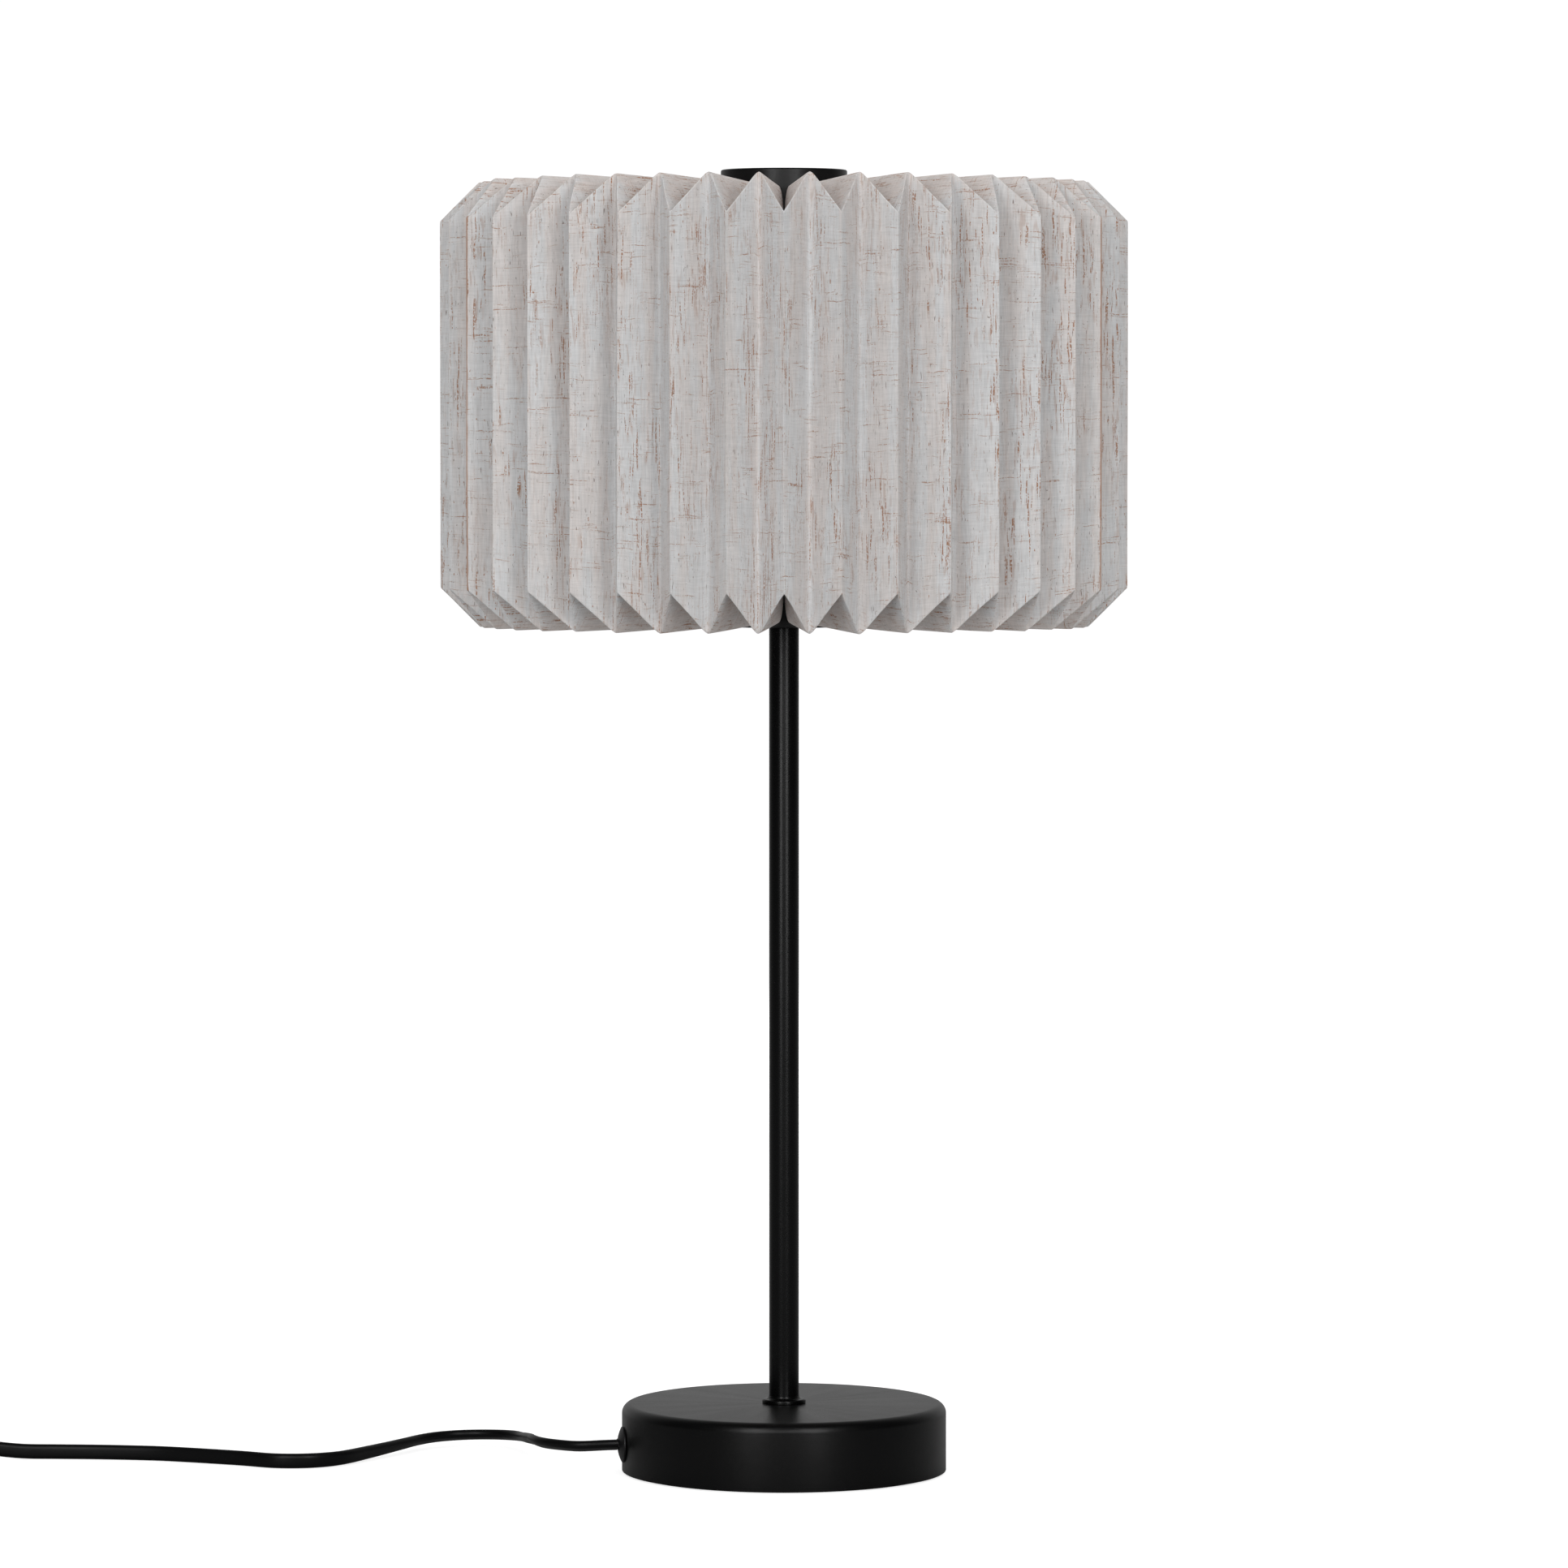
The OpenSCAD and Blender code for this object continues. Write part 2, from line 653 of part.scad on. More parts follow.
module centre_contact() {
    foot = 4;
    x1 = tongue_reach - foot;
    color([0.8, 0.66, 0.3]) translate([0, tongue_w / 2, insulator_top]) rotate([90, 0, 0])
        linear_extrude(tongue_w) polygon([
            [-tongue_reach, 0], [-x1, 0], [-1, tongue_rise], [3, tongue_rise], [3, tongue_rise + tongue_t],
            [-1.2, tongue_rise + tongue_t], [-x1 - 0.2, tongue_t], [-tongue_reach, tongue_t]
        ]);
}

module terminal_screws() {
    color([0.8, 0.66, 0.3]) for (s = [-1, 1]) translate([s * terminal_x, 0, 0]) difference() {
        union() {
            disc(terminal_head_r, insulator_bottom - terminal_head_h, insulator_bottom);
            disc(terminal_r, insulator_bottom - 0.1, insulator_bottom + terminal_depth - part_gap);
        }
        translate([0, 0, insulator_bottom - terminal_head_h])
            cube([terminal_head_r * 3, 0.7, 1.4], center = true);
    }
}

// Clamping ring of the shade, with grip ribs
module shade_ring() {
    color([0.04, 0.04, 0.04]) difference() {
        union() {
            disc(ring_flange_d / 2, ring_z, ring_z + ring_flange_t, $fn = 96);
            disc(ring_barrel_r, ring_z, ring_z + ring_h);
            for (k = [0 : ring_ribs - 1]) rotate([0, 0, k * 360 / ring_ribs])
                translate([ring_barrel_r - rib_out, -rib_w / 2, ring_z])
                    cube([2 * rib_out, rib_w, ring_h - 1]);
        }
        disc(skirt_r + slip_gap, ring_z - 1, ring_z + ring_h + 1);
    }
}

// Wall of a collar with a rolled bead at one edge
module collar_wall_profile(z0, z1, bead_z) {
    translate([collar_r - collar_wall, z0]) square([collar_wall, z1 - z0]);
    translate([collar_r - bead_r, bead_z]) circle(bead_r);
}

module low_collar() {
    z = low_collar_z;
    inner = collar_r - collar_wall;
    color([0.05, 0.05, 0.05]) {
        rotate_extrude($fn = 96) collar_wall_profile(z + bead_r, z + low_collar_h, z + bead_r);
        ring(hub_r, hub_hole_r, hub_z, hub_z + spider_t);
        for (k = [0 : arm_count - 1]) rotate([0, 0, k * 360 / arm_count + 90 - arm_turn / 2])
            rotate_extrude(angle = arm_turn) polygon([
                [inner - spider_t, z + 3], [inner + collar_wall / 2, z + 3],
                [inner + collar_wall / 2, z + low_collar_h - 1], [inner, z + low_collar_h],
                [inner, hub_z - arm_bend], [hub_r, hub_z + spider_t],
                [hub_r - 1.5, hub_z + spider_t], [hub_r - 1.5, hub_z],
                [inner - spider_t, hub_z - arm_bend]
            ]);
    }
}

module top_collar() {
    z = top_collar_z;
    color([0.05, 0.05, 0.05]) rotate_extrude($fn = 96)
        collar_wall_profile(z, z + top_collar_h - bead_r, z + top_collar_h - bead_r);
}

// Pleated cloth in two lengths, which meet at a mountain fold on each side
module shade_front() {
    color([0.82, 0.79, 0.75]) cloth(-front_pleats, front_pleats);
}

module shade_back() {
    color([0.82, 0.79, 0.75]) cloth(front_pleats, 2 * pleats - front_pleats);
}

// Bulb
module bulb_globe() {
    low_turn = -40;
    steps = 16;
    arc = [for (i = [0 : steps]) let (t = mix(90, low_turn, i / steps))
        [bulb_r * cos(t), bulb_mid + bulb_r * sin(t)]];
    from = [bulb_r * cos(low_turn), bulb_mid + bulb_r * sin(low_turn)];
    to = [bulb_neck_r, bulb_neck_z + 1];
    pull = (from[1] - to[1]) * 0.5;
    c1 = from + pull * [sin(low_turn), -cos(low_turn)];
    c2 = to + [0, pull];
    neck = [for (i = [1 : 8]) let (t = i / 8)
        pow(1 - t, 3) * from + 3 * t * pow(1 - t, 2) * c1 + 3 * t * t * (1 - t) * c2 + t * t * t * to];
    color([0.95, 0.94, 0.9]) rotate_extrude($fn = 64)
        polygon(concat(arc, neck, [[bulb_neck_r, bulb_neck_z], [0, bulb_neck_z]]));
}

module bulb_cap() {
    color([0.78, 0.78, 0.8]) rotate_extrude() polygon([
        [0, bulb_cap_z], [bulb_cap_d / 2 - 3, bulb_cap_z], [bulb_cap_d / 2, bulb_cap_z + 3],
        [bulb_cap_d / 2, bulb_neck_z], [0, bulb_neck_z]
    ]);
}

module bulb_insulator() {
    color([0.08, 0.08, 0.1]) rotate_extrude() polygon([
        [0, bulb_tip + bulb_tip_h], [bulb_tip_r + 1, bulb_tip + bulb_tip_h],
        [bulb_cap_d / 2 - 3.2, bulb_cap_z], [0, bulb_cap_z]
    ]);
}

module bulb_contact() {
    color([0.75, 0.72, 0.66]) disc(bulb_tip_r, bulb_tip, bulb_tip + bulb_tip_h);
}

// Free cord
module cord_run() {
    start = concat(gland_dir * gland_face + [0, 0, gland_z], [gland_cord_turn]);
    color([0.05, 0.05, 0.05])
        tube(concat([start], RUN, [switch_near + along_x, switch_near - along_x]), cord_outline());
}

module cord_lead() {
    color([0.05, 0.05, 0.05]) tube(
        concat([switch_far + along_x, switch_far - along_x], LEAD, [COIL[0]]), cord_outline());
}

module cord_coil() {
    color([0.05, 0.05, 0.05]) tube(COIL, coil_outline());
}

module cord_tail() {
    color([0.05, 0.05, 0.05])
        tube(concat([COIL[len(COIL) - 1]], TAIL, [[plug_x, plug_y, plug_z, 90]]), cord_outline());
}

// Strap round the coil
module coil_tie() {
    r0 = min([for (p = COIL) norm([p[0] - coil_x, p[1] - coil_y])]) - cord_t / 2 - tie_gap;
    r1 = coil_r + cord_t / 2 + tie_gap;
    top = coil_z + coil_layer + cord_w / 2 + part_gap;
    color([0.1, 0.1, 0.1]) translate([coil_x, coil_y, 0]) rotate([0, 0, tie_turn])
        rotate([90, 0, 0]) translate([0, 0, -tie_w / 2]) linear_extrude(tie_w) difference() {
            translate([r0 - tie_t, 0]) square([r1 - r0 + 2 * tie_t, top + tie_t]);
            translate([r0, tie_t]) square([r1 - r0, top - tie_t]);
        }
}

// In-line switch
module at_switch() {
    translate([switch_x, switch_y, 0]) children();
}

module switch_cord_slots() {
    for (s = [-1, 1]) translate([s * switch_l / 2, 0, switch_split]) rotate([90, 0, 90])
        translate([0, 0, -slot_depth - 1]) linear_extrude(2 * slot_depth + 2) rotate(90) cord_slot();
}

module switch_posts(z0, z1, r) {
    for (s = [-1, 1]) translate([s * screw_x, s * screw_y, 0]) disc(r, z0, z1);
}

module switch_lower() {
    w = switch_wall;
    color([0.06, 0.06, 0.06]) at_switch() difference() {
        union() {
            difference() {
                linear_extrude(switch_split) pill(switch_l, switch_w, switch_corner);
                translate([0, 0, w]) linear_extrude(switch_split)
                    pill(switch_l - 2 * slot_depth + 2 * w, switch_w - 2 * w, switch_corner - w);
            }
            switch_posts(0, switch_split, post_r);
        }
        switch_cord_slots();
        switch_posts(-1, switch_h, screw_r + slip_gap);
        switch_posts(-1, screw_head_h + 0.2, screw_head_r + slip_gap);
    }
}

module switch_upper() {
    w = switch_wall;
    open_l = rocker_l + 2 * rocker_play + 1;
    open_w = rocker_w + 2 * rocker_play;
    inside_top = switch_h - switch_roof;
    color([0.06, 0.06, 0.06]) at_switch() difference() {
        intersection() {
            union() {
                difference() {
                    translate([0, 0, switch_split]) linear_extrude(switch_h)
                        pill(switch_l, switch_w, switch_corner);
                    translate([0, 0, switch_split - 1]) linear_extrude(inside_top - switch_split + 1)
                        pill(switch_l - 2 * slot_depth + 2 * w, switch_w - 2 * w, switch_corner - w);
                }
                switch_posts(switch_split, switch_h, post_r);
                for (s = [-1, 1]) translate([-lug_l / 2, s * (open_w + lug_t) / 2 - lug_t / 2, pivot_z - 3])
                    cube([lug_l, lug_t, 4]);
            }
            translate([0, switch_w, switch_h - switch_arch_r]) rotate([90, 0, 0])
                cylinder(r = switch_arch_r, h = 2 * switch_w, $fn = 240);
        }
        translate([0, 0, switch_h / 2]) cube([open_l, open_w, 2 * switch_h], center = true);
        translate([0, open_w / 2 + lug_t + part_gap, pivot_z]) rotate([90, 0, 0])
            cylinder(r = pivot_r + pivot_gap, h = open_w + 2 * lug_t + 2 * part_gap);
        switch_cord_slots();
        switch_posts(0, inside_top + 0.4, screw_r - 0.1);
    }
}

module switch_rocker() {
    half = rocker_l / 2;
    color([0.05, 0.05, 0.05]) at_switch() translate([0, 0, pivot_z]) rotate([0, -rocker_travel / 2, 0]) {
        translate([0, rocker_w / 2, 0]) rotate([90, 0, 0]) linear_extrude(rocker_w) polygon([
            [-half, 3.6], [-half * 0.5, 2.5], [0, 2.1], [half * 0.5, 2.5], [half, 3.6],
            [half - 0.4, -1], [4, -2.6], [-4, -2.6], [-half + 0.4, -1]
        ]);
        translate([0, rocker_w / 2 + pivot_reach, 0]) rotate([90, 0, 0])
            cylinder(r = pivot_r, h = rocker_w + 2 * pivot_reach);
    }
}

module switch_terminals() {
    color([0.8, 0.66, 0.3]) at_switch() for (s = [-1, 1])
        translate([s * terminal_block_x, -s * 6.5, switch_wall + terminal_block[2] / 2 - 1])
            difference() {
                cube(terminal_block - [0, 0, 2], center = true);
                rotate([0, 90, 0])
                    cylinder(r = terminal_wire_r, h = 2 * terminal_block[0], center = true);
            }
}

module switch_screws() {
    reach = switch_h - switch_wall - 1.2;
    color([0.7, 0.7, 0.72]) at_switch() difference() {
        union() {
            switch_posts(0.2, 0.2 + screw_head_h - 0.1, screw_head_r);
            switch_posts(0.3, reach, screw_r - 0.15);
        }
        for (s = [-1, 1]) translate([s * screw_x, s * screw_y, 0.2]) rotate([0, 0, 45]) {
            cube([3.4, 0.6, 1.6], center = true);
            cube([0.6, 3.4, 1.6], center = true);
        }
    }
}

// Plug
module at_plug() {
    translate([plug_x, plug_y, plug_z]) children();
}

module plug_sleeve() {
    step = sleeve_l / (sleeve_grooves + 1);
    color([0.05, 0.05, 0.05]) at_plug() rotate([0, 90, 0]) difference() {
        cylinder(r1 = sleeve_r0, r2 = sleeve_r1, h = sleeve_l);
        for (k = [1 : sleeve_grooves]) let (
            r = mix(sleeve_r0, sleeve_r1, k / (sleeve_grooves + 1)) - groove_d
        ) difference() {
            disc(sleeve_r1 + 1, k * step - groove_w / 2, k * step + groove_w / 2);
            disc(r, k * step - groove_w, k * step + groove_w);
        }
    }
}

module plug_body() {
    c = plug_corner_r;
    color([0.05, 0.05, 0.05]) at_plug() translate([sleeve_l, 0, -plug_t / 2]) difference() {
        linear_extrude(plug_t) hull() {
            for (s = [-1, 1]) {
                translate([c, s * (plug_neck_w / 2 - c)]) circle(c, $fn = 32);
                translate([plug_l * 0.42, s * (plug_w / 2 - c - 0.6)]) circle(c, $fn = 32);
                translate([plug_l - c, s * (plug_w / 2 - c)]) circle(c, $fn = 32);
            }
        }
        for (s = [-1, 1]) translate([0, 0, plug_t / 2 + s * (plug_t / 2)]) rotate([0, s * 4, 0])
            translate([plug_l * 0.2, 0, s * plug_t * 0.25])
                cube([plug_l * 0.36, 2 * plug_w, plug_t / 2], center = true);
    }
}

module plug_pins() {
    tip = 1;
    color([0.8, 0.8, 0.82]) at_plug() translate([sleeve_l + plug_l, 0, 0]) rotate([0, 90, 0])
        for (s = [-1, 1]) translate([0, s * pin_pitch / 2, 0]) {
            cylinder(d = pin_d, h = pin_l - tip);
            translate([0, 0, pin_l - tip]) cylinder(r1 = pin_d / 2, r2 = pin_d / 2 - tip * 0.7, h = tip);
        }
}

base_shell();
base_weight();
base_plate();
base_pad();
lower_washer();
lower_nut();
lower_nipple();
foot_collar();
cord_gland();
stem_tube();
stem_ferrule();
upper_nipple();
cord_inner();
cord_cores();
holder_cap();
holder_body();
holder_insulator();
screw_shell();
centre_contact();
terminal_screws();
shade_ring();
low_collar();
top_collar();
shade_front();
shade_back();
bulb_globe();
bulb_cap();
bulb_insulator();
bulb_contact();
cord_run();
cord_lead();
cord_coil();
cord_tail();
coil_tie();
switch_lower();
switch_upper();
switch_rocker();
switch_terminals();
switch_screws();
plug_sleeve();
plug_body();
plug_pins();
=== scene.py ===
"""A table lamp with a pleated cloth shade, a slim stem, a round foot and a corded switch.

Metres throughout, in the lamp's own frame: +Z up, the front towards -Y, the cord towards -X.
"""

import json
import math
from statistics import NormalDist

import bmesh
import bpy
from bpy.props import FloatProperty, FloatVectorProperty, IntProperty, PointerProperty
from mathutils import Matrix, Vector

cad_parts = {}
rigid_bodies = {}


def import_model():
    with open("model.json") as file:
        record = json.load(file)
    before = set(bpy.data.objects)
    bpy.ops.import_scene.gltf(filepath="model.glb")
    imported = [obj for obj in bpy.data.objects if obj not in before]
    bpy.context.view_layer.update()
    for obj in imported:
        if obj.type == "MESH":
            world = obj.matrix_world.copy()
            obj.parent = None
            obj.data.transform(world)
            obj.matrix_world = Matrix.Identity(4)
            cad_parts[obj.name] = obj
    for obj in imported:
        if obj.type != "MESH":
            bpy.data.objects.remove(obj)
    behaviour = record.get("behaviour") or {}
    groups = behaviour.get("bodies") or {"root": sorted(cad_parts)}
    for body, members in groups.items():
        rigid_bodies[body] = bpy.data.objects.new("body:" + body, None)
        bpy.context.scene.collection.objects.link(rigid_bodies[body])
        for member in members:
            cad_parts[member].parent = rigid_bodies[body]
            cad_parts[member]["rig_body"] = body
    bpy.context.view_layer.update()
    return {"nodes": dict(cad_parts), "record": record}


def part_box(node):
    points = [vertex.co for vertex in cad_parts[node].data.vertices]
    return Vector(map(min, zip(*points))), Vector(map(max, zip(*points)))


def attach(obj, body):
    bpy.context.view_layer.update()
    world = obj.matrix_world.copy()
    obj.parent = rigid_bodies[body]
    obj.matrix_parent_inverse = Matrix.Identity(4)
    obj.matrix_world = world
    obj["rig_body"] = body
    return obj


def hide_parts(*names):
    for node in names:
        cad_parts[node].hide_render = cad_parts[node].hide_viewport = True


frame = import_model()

bl_info = {
    "name": "Pleated Table Lamp",
    "version": (1, 0, 0),
    "blender": (4, 5, 0),
    "location": "3D View > Sidebar > Lamp",
    "description": "Builds a table lamp with a pleated cloth shade, a slim stem and a round foot",
    "category": "Add Mesh",
}

MM = 0.001
FOOT_LOW, FOOT_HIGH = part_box("base_shell")
STEM_LOW, STEM_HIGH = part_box("stem_tube")
FERRULE_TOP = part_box("stem_ferrule")[1].z
COLLAR_LOW, COLLAR_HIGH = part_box("top_collar")
SHADE_LOW, SHADE_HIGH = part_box("shade_back")
CAP_LOW, CAP_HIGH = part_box("holder_cap")
SKIRT_LOW, SKIRT_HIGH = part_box("holder_body")
RING_LOW, RING_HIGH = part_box("shade_ring")
GLOBE_LOW, GLOBE_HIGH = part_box("bulb_globe")
BULB_CAP_LOW, BULB_CAP_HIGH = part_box("bulb_cap")
PLUG_LOW, PLUG_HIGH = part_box("plug_body")
SLEEVE_LOW, SLEEVE_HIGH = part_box("plug_sleeve")


# Settings

def number(name, description, default, **more):
    return FloatProperty(name=name, description=description, default=default, **more)


def metres(name, description, default):
    return number(name, description, default, unit="LENGTH")


def watts(name, description, default):
    return number(name, description, default, unit="POWER")


def rgb(name, description, default):
    return FloatVectorProperty(
        name=name, description=description, default=default, subtype="COLOR")


class ShadeSettings(bpy.types.PropertyGroup):
    """Sizes and colours of the pleated shade."""

    pleats: IntProperty(name="Pleats", description="Pleats all round", default=39, min=9)
    front_pleats: IntProperty(
        name="Front pleats", description="Pleats in the front cloth", default=14, min=2)
    fold_radius: metres(
        "Outer radius", "Radius over the outer folds", -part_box("shade_front")[0].y)
    depth: metres("Pleat depth", "How deep a pleat is in the wall", 17.3 * MM)
    shoulder: metres("Shoulder", "Height of the slope where the wall turns inwards", 17 * MM)
    ridge_sink: metres(
        "Ridge sink", "How far a ridge falls from the shoulder to the collar", 2.4 * MM)
    seat_gap: metres("Seat gap", "Glue between the collar and the cloth", 0.2 * MM)
    thickness: metres("Cloth", "Thickness of the stiffened cloth", 0.5 * MM)
    softness: number("Valley softness", "How much of a strip the round of a valley takes", 0.2)
    pinch: number("Pinch", "How tightly each pleat is pressed together at the collars", 2.4)
    unevenness: metres("Unevenness", "How far the folds wander", 0.5 * MM)
    thread: rgb("Thread", "Colour of the plain cloth", (0.6, 0.602, 0.606))
    tint: rgb("Warm tint", "Colour of the warmer bands in the cloth", (0.6, 0.552, 0.528))
    slub: rgb("Slub", "Colour of the dark slubs", (0.13, 0.08, 0.055))
    rust: rgb("Brown thread", "Colour of the brown threads", (0.32, 0.15, 0.075))


class FootSettings(bpy.types.PropertyGroup):
    """Sizes of the foot, and the paint of foot, stem and collars."""

    wall: metres("Wall", "Wall of the spun foot", 1.2 * MM)
    edge: metres("Edge", "Radius of the foot's upper edge", 4.2 * MM)
    paint: rgb("Foot paint", "Colour of the foot", (0.0014, 0.0014, 0.0015))
    stem_paint: rgb("Stem paint", "Colour of the stem", (0.001, 0.001, 0.0011))
    collar_paint: rgb("Collar paint", "Colour of the collars", (0.004, 0.004, 0.0042))


class CordSettings(bpy.types.PropertyGroup):
    """Sizes of the flat cord and its coil."""

    width: metres("Width", "Width of the flat cord", 6.6 * MM)
    thickness: metres("Thickness", "Thickness of the flat cord", 3.7 * MM)
    coil_radius: metres("Coil radius", "Radius of the outermost turn", 41 * MM)
    coil_pitch: metres("Coil pitch", "Step from one turn to the next", 4.8 * MM)
    coil_lift: metres("Layer step", "Height from one layer of turns to the next", 7.3 * MM)
    sheath: rgb("Sheath", "Colour of the cord", (0.003, 0.003, 0.0032))


class StudioSettings(bpy.types.PropertyGroup):
    """Camera and lights."""

    distance: metres("Camera distance", "From the stem to the camera", 3.1886)
    height: metres("Camera height", "Above the table", 0.4493)
    tilt: number("Camera tilt", "How far the camera looks down", math.radians(2.658),
                 unit="ROTATION")
    lens: number("Lens", "Focal length on a 36 mm sensor", 167.93, unit="CAMERA")
    key_power: watts("Soft boxes", "Power of each of the two soft boxes beside the camera", 12.8)
    back_power: watts("Back box", "Power of the soft box behind the lamp", 21)
    front_power: watts("Front panel", "Power of the wide panel that only reflects", 18)
    strip_power: watts(
        "Strip lights", "Power of each of the two tall lights that only reflect", 26)
    top_power: watts("Top light", "Power of the wide light overhead", 8)
    ambient: number("Ambient", "Light from all round, for matt surfaces", 0.53)
    panels: number("Panels", "Extra soft light from the front and the back", 0.5)
    dark_side: number(
        "Dark side", "Brightness of the room behind the camera in reflections", 0.035)
    bright_side: number("Bright side", "Brightness behind the lamp in reflections", 0.45)


# Node trees

# Sockets of a Mix node that mixes colours
MIX_AMOUNT, MIX_FIRST, MIX_SECOND, MIX_RESULT = 0, 6, 7, 2
# The value socket of a Store Named Attribute node, whatever kind of value it stores
STORED_VALUE = 3


def rgba(colour):
    return (*colour, 1)


def grey(level):
    return (level, level, level, 1)


def scaled(colour, times):
    return [times * c for c in colour]


class Value:
    """A socket. Python's operators on it add Math nodes."""

    def __init__(self, graph, socket):
        self.graph = graph
        self.socket = socket

    def math(self, operation, *inputs):
        return self.graph.node("ShaderNodeMath", {"operation": operation}, inputs)

    def out(self, name):
        """Another output of the same node."""
        return Value(self.graph, self.socket.node.outputs[name])

    def __add__(self, other):
        return self.math("ADD", self, other)

    def __radd__(self, other):
        return self.math("ADD", other, self)

    def __sub__(self, other):
        return self.math("SUBTRACT", self, other)

    def __rsub__(self, other):
        return self.math("SUBTRACT", other, self)

    def __mul__(self, other):
        return self.math("MULTIPLY", self, other)

    def __rmul__(self, other):
        return self.math("MULTIPLY", other, self)

    def __truediv__(self, other):
        return self.math("DIVIDE", self, other)

    def __rtruediv__(self, other):
        return self.math("DIVIDE", other, self)

    def __pow__(self, other):
        return self.math("POWER", self, other)

    def __gt__(self, other):
        return self.math("GREATER_THAN", self, other)

    def __lt__(self, other):
        return self.math("LESS_THAN", self, other)

    def __abs__(self):
        return self.math("ABSOLUTE", self)


class Graph:
    """A node tree under construction."""

    def __init__(self, tree):
        self.tree = tree

    def node(self, kind, settings=None, inputs=(), output=0):
        """Adds a node: its settings first, then the values or links of its sockets."""
        made = self.tree.nodes.new(kind)
        for name, value in (settings or {}).items():
            setattr(made, name, value)
        pairs = inputs.items() if isinstance(inputs, dict) else enumerate(inputs)
        for key, value in pairs:
            if isinstance(value, Value):
                self.tree.links.new(value.socket, made.inputs[key])
            else:
                made.inputs[key].default_value = value
        return Value(self, made.outputs[output])

    def combine(self, x, y, z):
        return self.node("ShaderNodeCombineXYZ", {}, (x, y, z))

    def split(self, vector):
        """X, Y and Z of a vector."""
        x = self.node("ShaderNodeSeparateXYZ", {}, (vector,))
        return x, x.out("Y"), x.out("Z")

    def mix(self, amount, first, second, blend="MIX"):
        """A colour between two others, or the second laid on the first in another blend."""
        return self.node("ShaderNodeMix", {"data_type": "RGBA", "blend_type": blend}, {
            MIX_AMOUNT: amount, MIX_FIRST: first, MIX_SECOND: second}, MIX_RESULT)

    def noise(self, place, scale=1.0, detail=1.0, roughness=0.5):
        return self.node("ShaderNodeTexNoise", {}, {
            "Vector": place, "Scale": scale, "Detail": detail, "Roughness": roughness})

    def rise(self, value, low, high):
        """0 below low, 1 above high, and a smooth rise between them."""
        return self.node("ShaderNodeMapRange", {"interpolation_type": "SMOOTHSTEP"},
                         (value, low, high, 0.0, 1.0))

    def clamp(self, value):
        return self.node("ShaderNodeClamp", {}, (value, 0.0, 1.0))


class Finish(Graph):
    """A material under construction round its one Principled shader."""

    def __init__(self, name, **constants):
        self.material = bpy.data.materials.new(name)
        self.material.use_nodes = True
        super().__init__(self.material.node_tree)
        self.shader = self.tree.nodes["Principled BSDF"]
        self.place = self.node("ShaderNodeTexCoord", output="Object")
        for title, value in constants.items():
            self.set(title.replace("_", " ").title().replace("Ior", "IOR"), value)

    def set(self, title, value):
        socket = self.shader.inputs[title]
        if isinstance(value, Value):
            self.tree.links.new(value.socket, socket)
        else:
            socket.default_value = value

    def tones(self, amount, first, second):
        """Colours the surface between two tones."""
        self.set("Base Color", self.mix(amount, rgba(first), rgba(second)))

    def blobs(self, size, detail, roughness=0.5):
        """Noise with blobs of about this size."""
        return self.noise(self.place, 1 / size, detail, roughness)

    def bump(self, height, distance, strength=1.0):
        self.set("Normal", self.node("ShaderNodeBump", {}, {
            "Strength": strength, "Distance": distance, "Height": height}))


# Finishes

NOISE_SPREAD = NormalDist(0.5, 0.1)


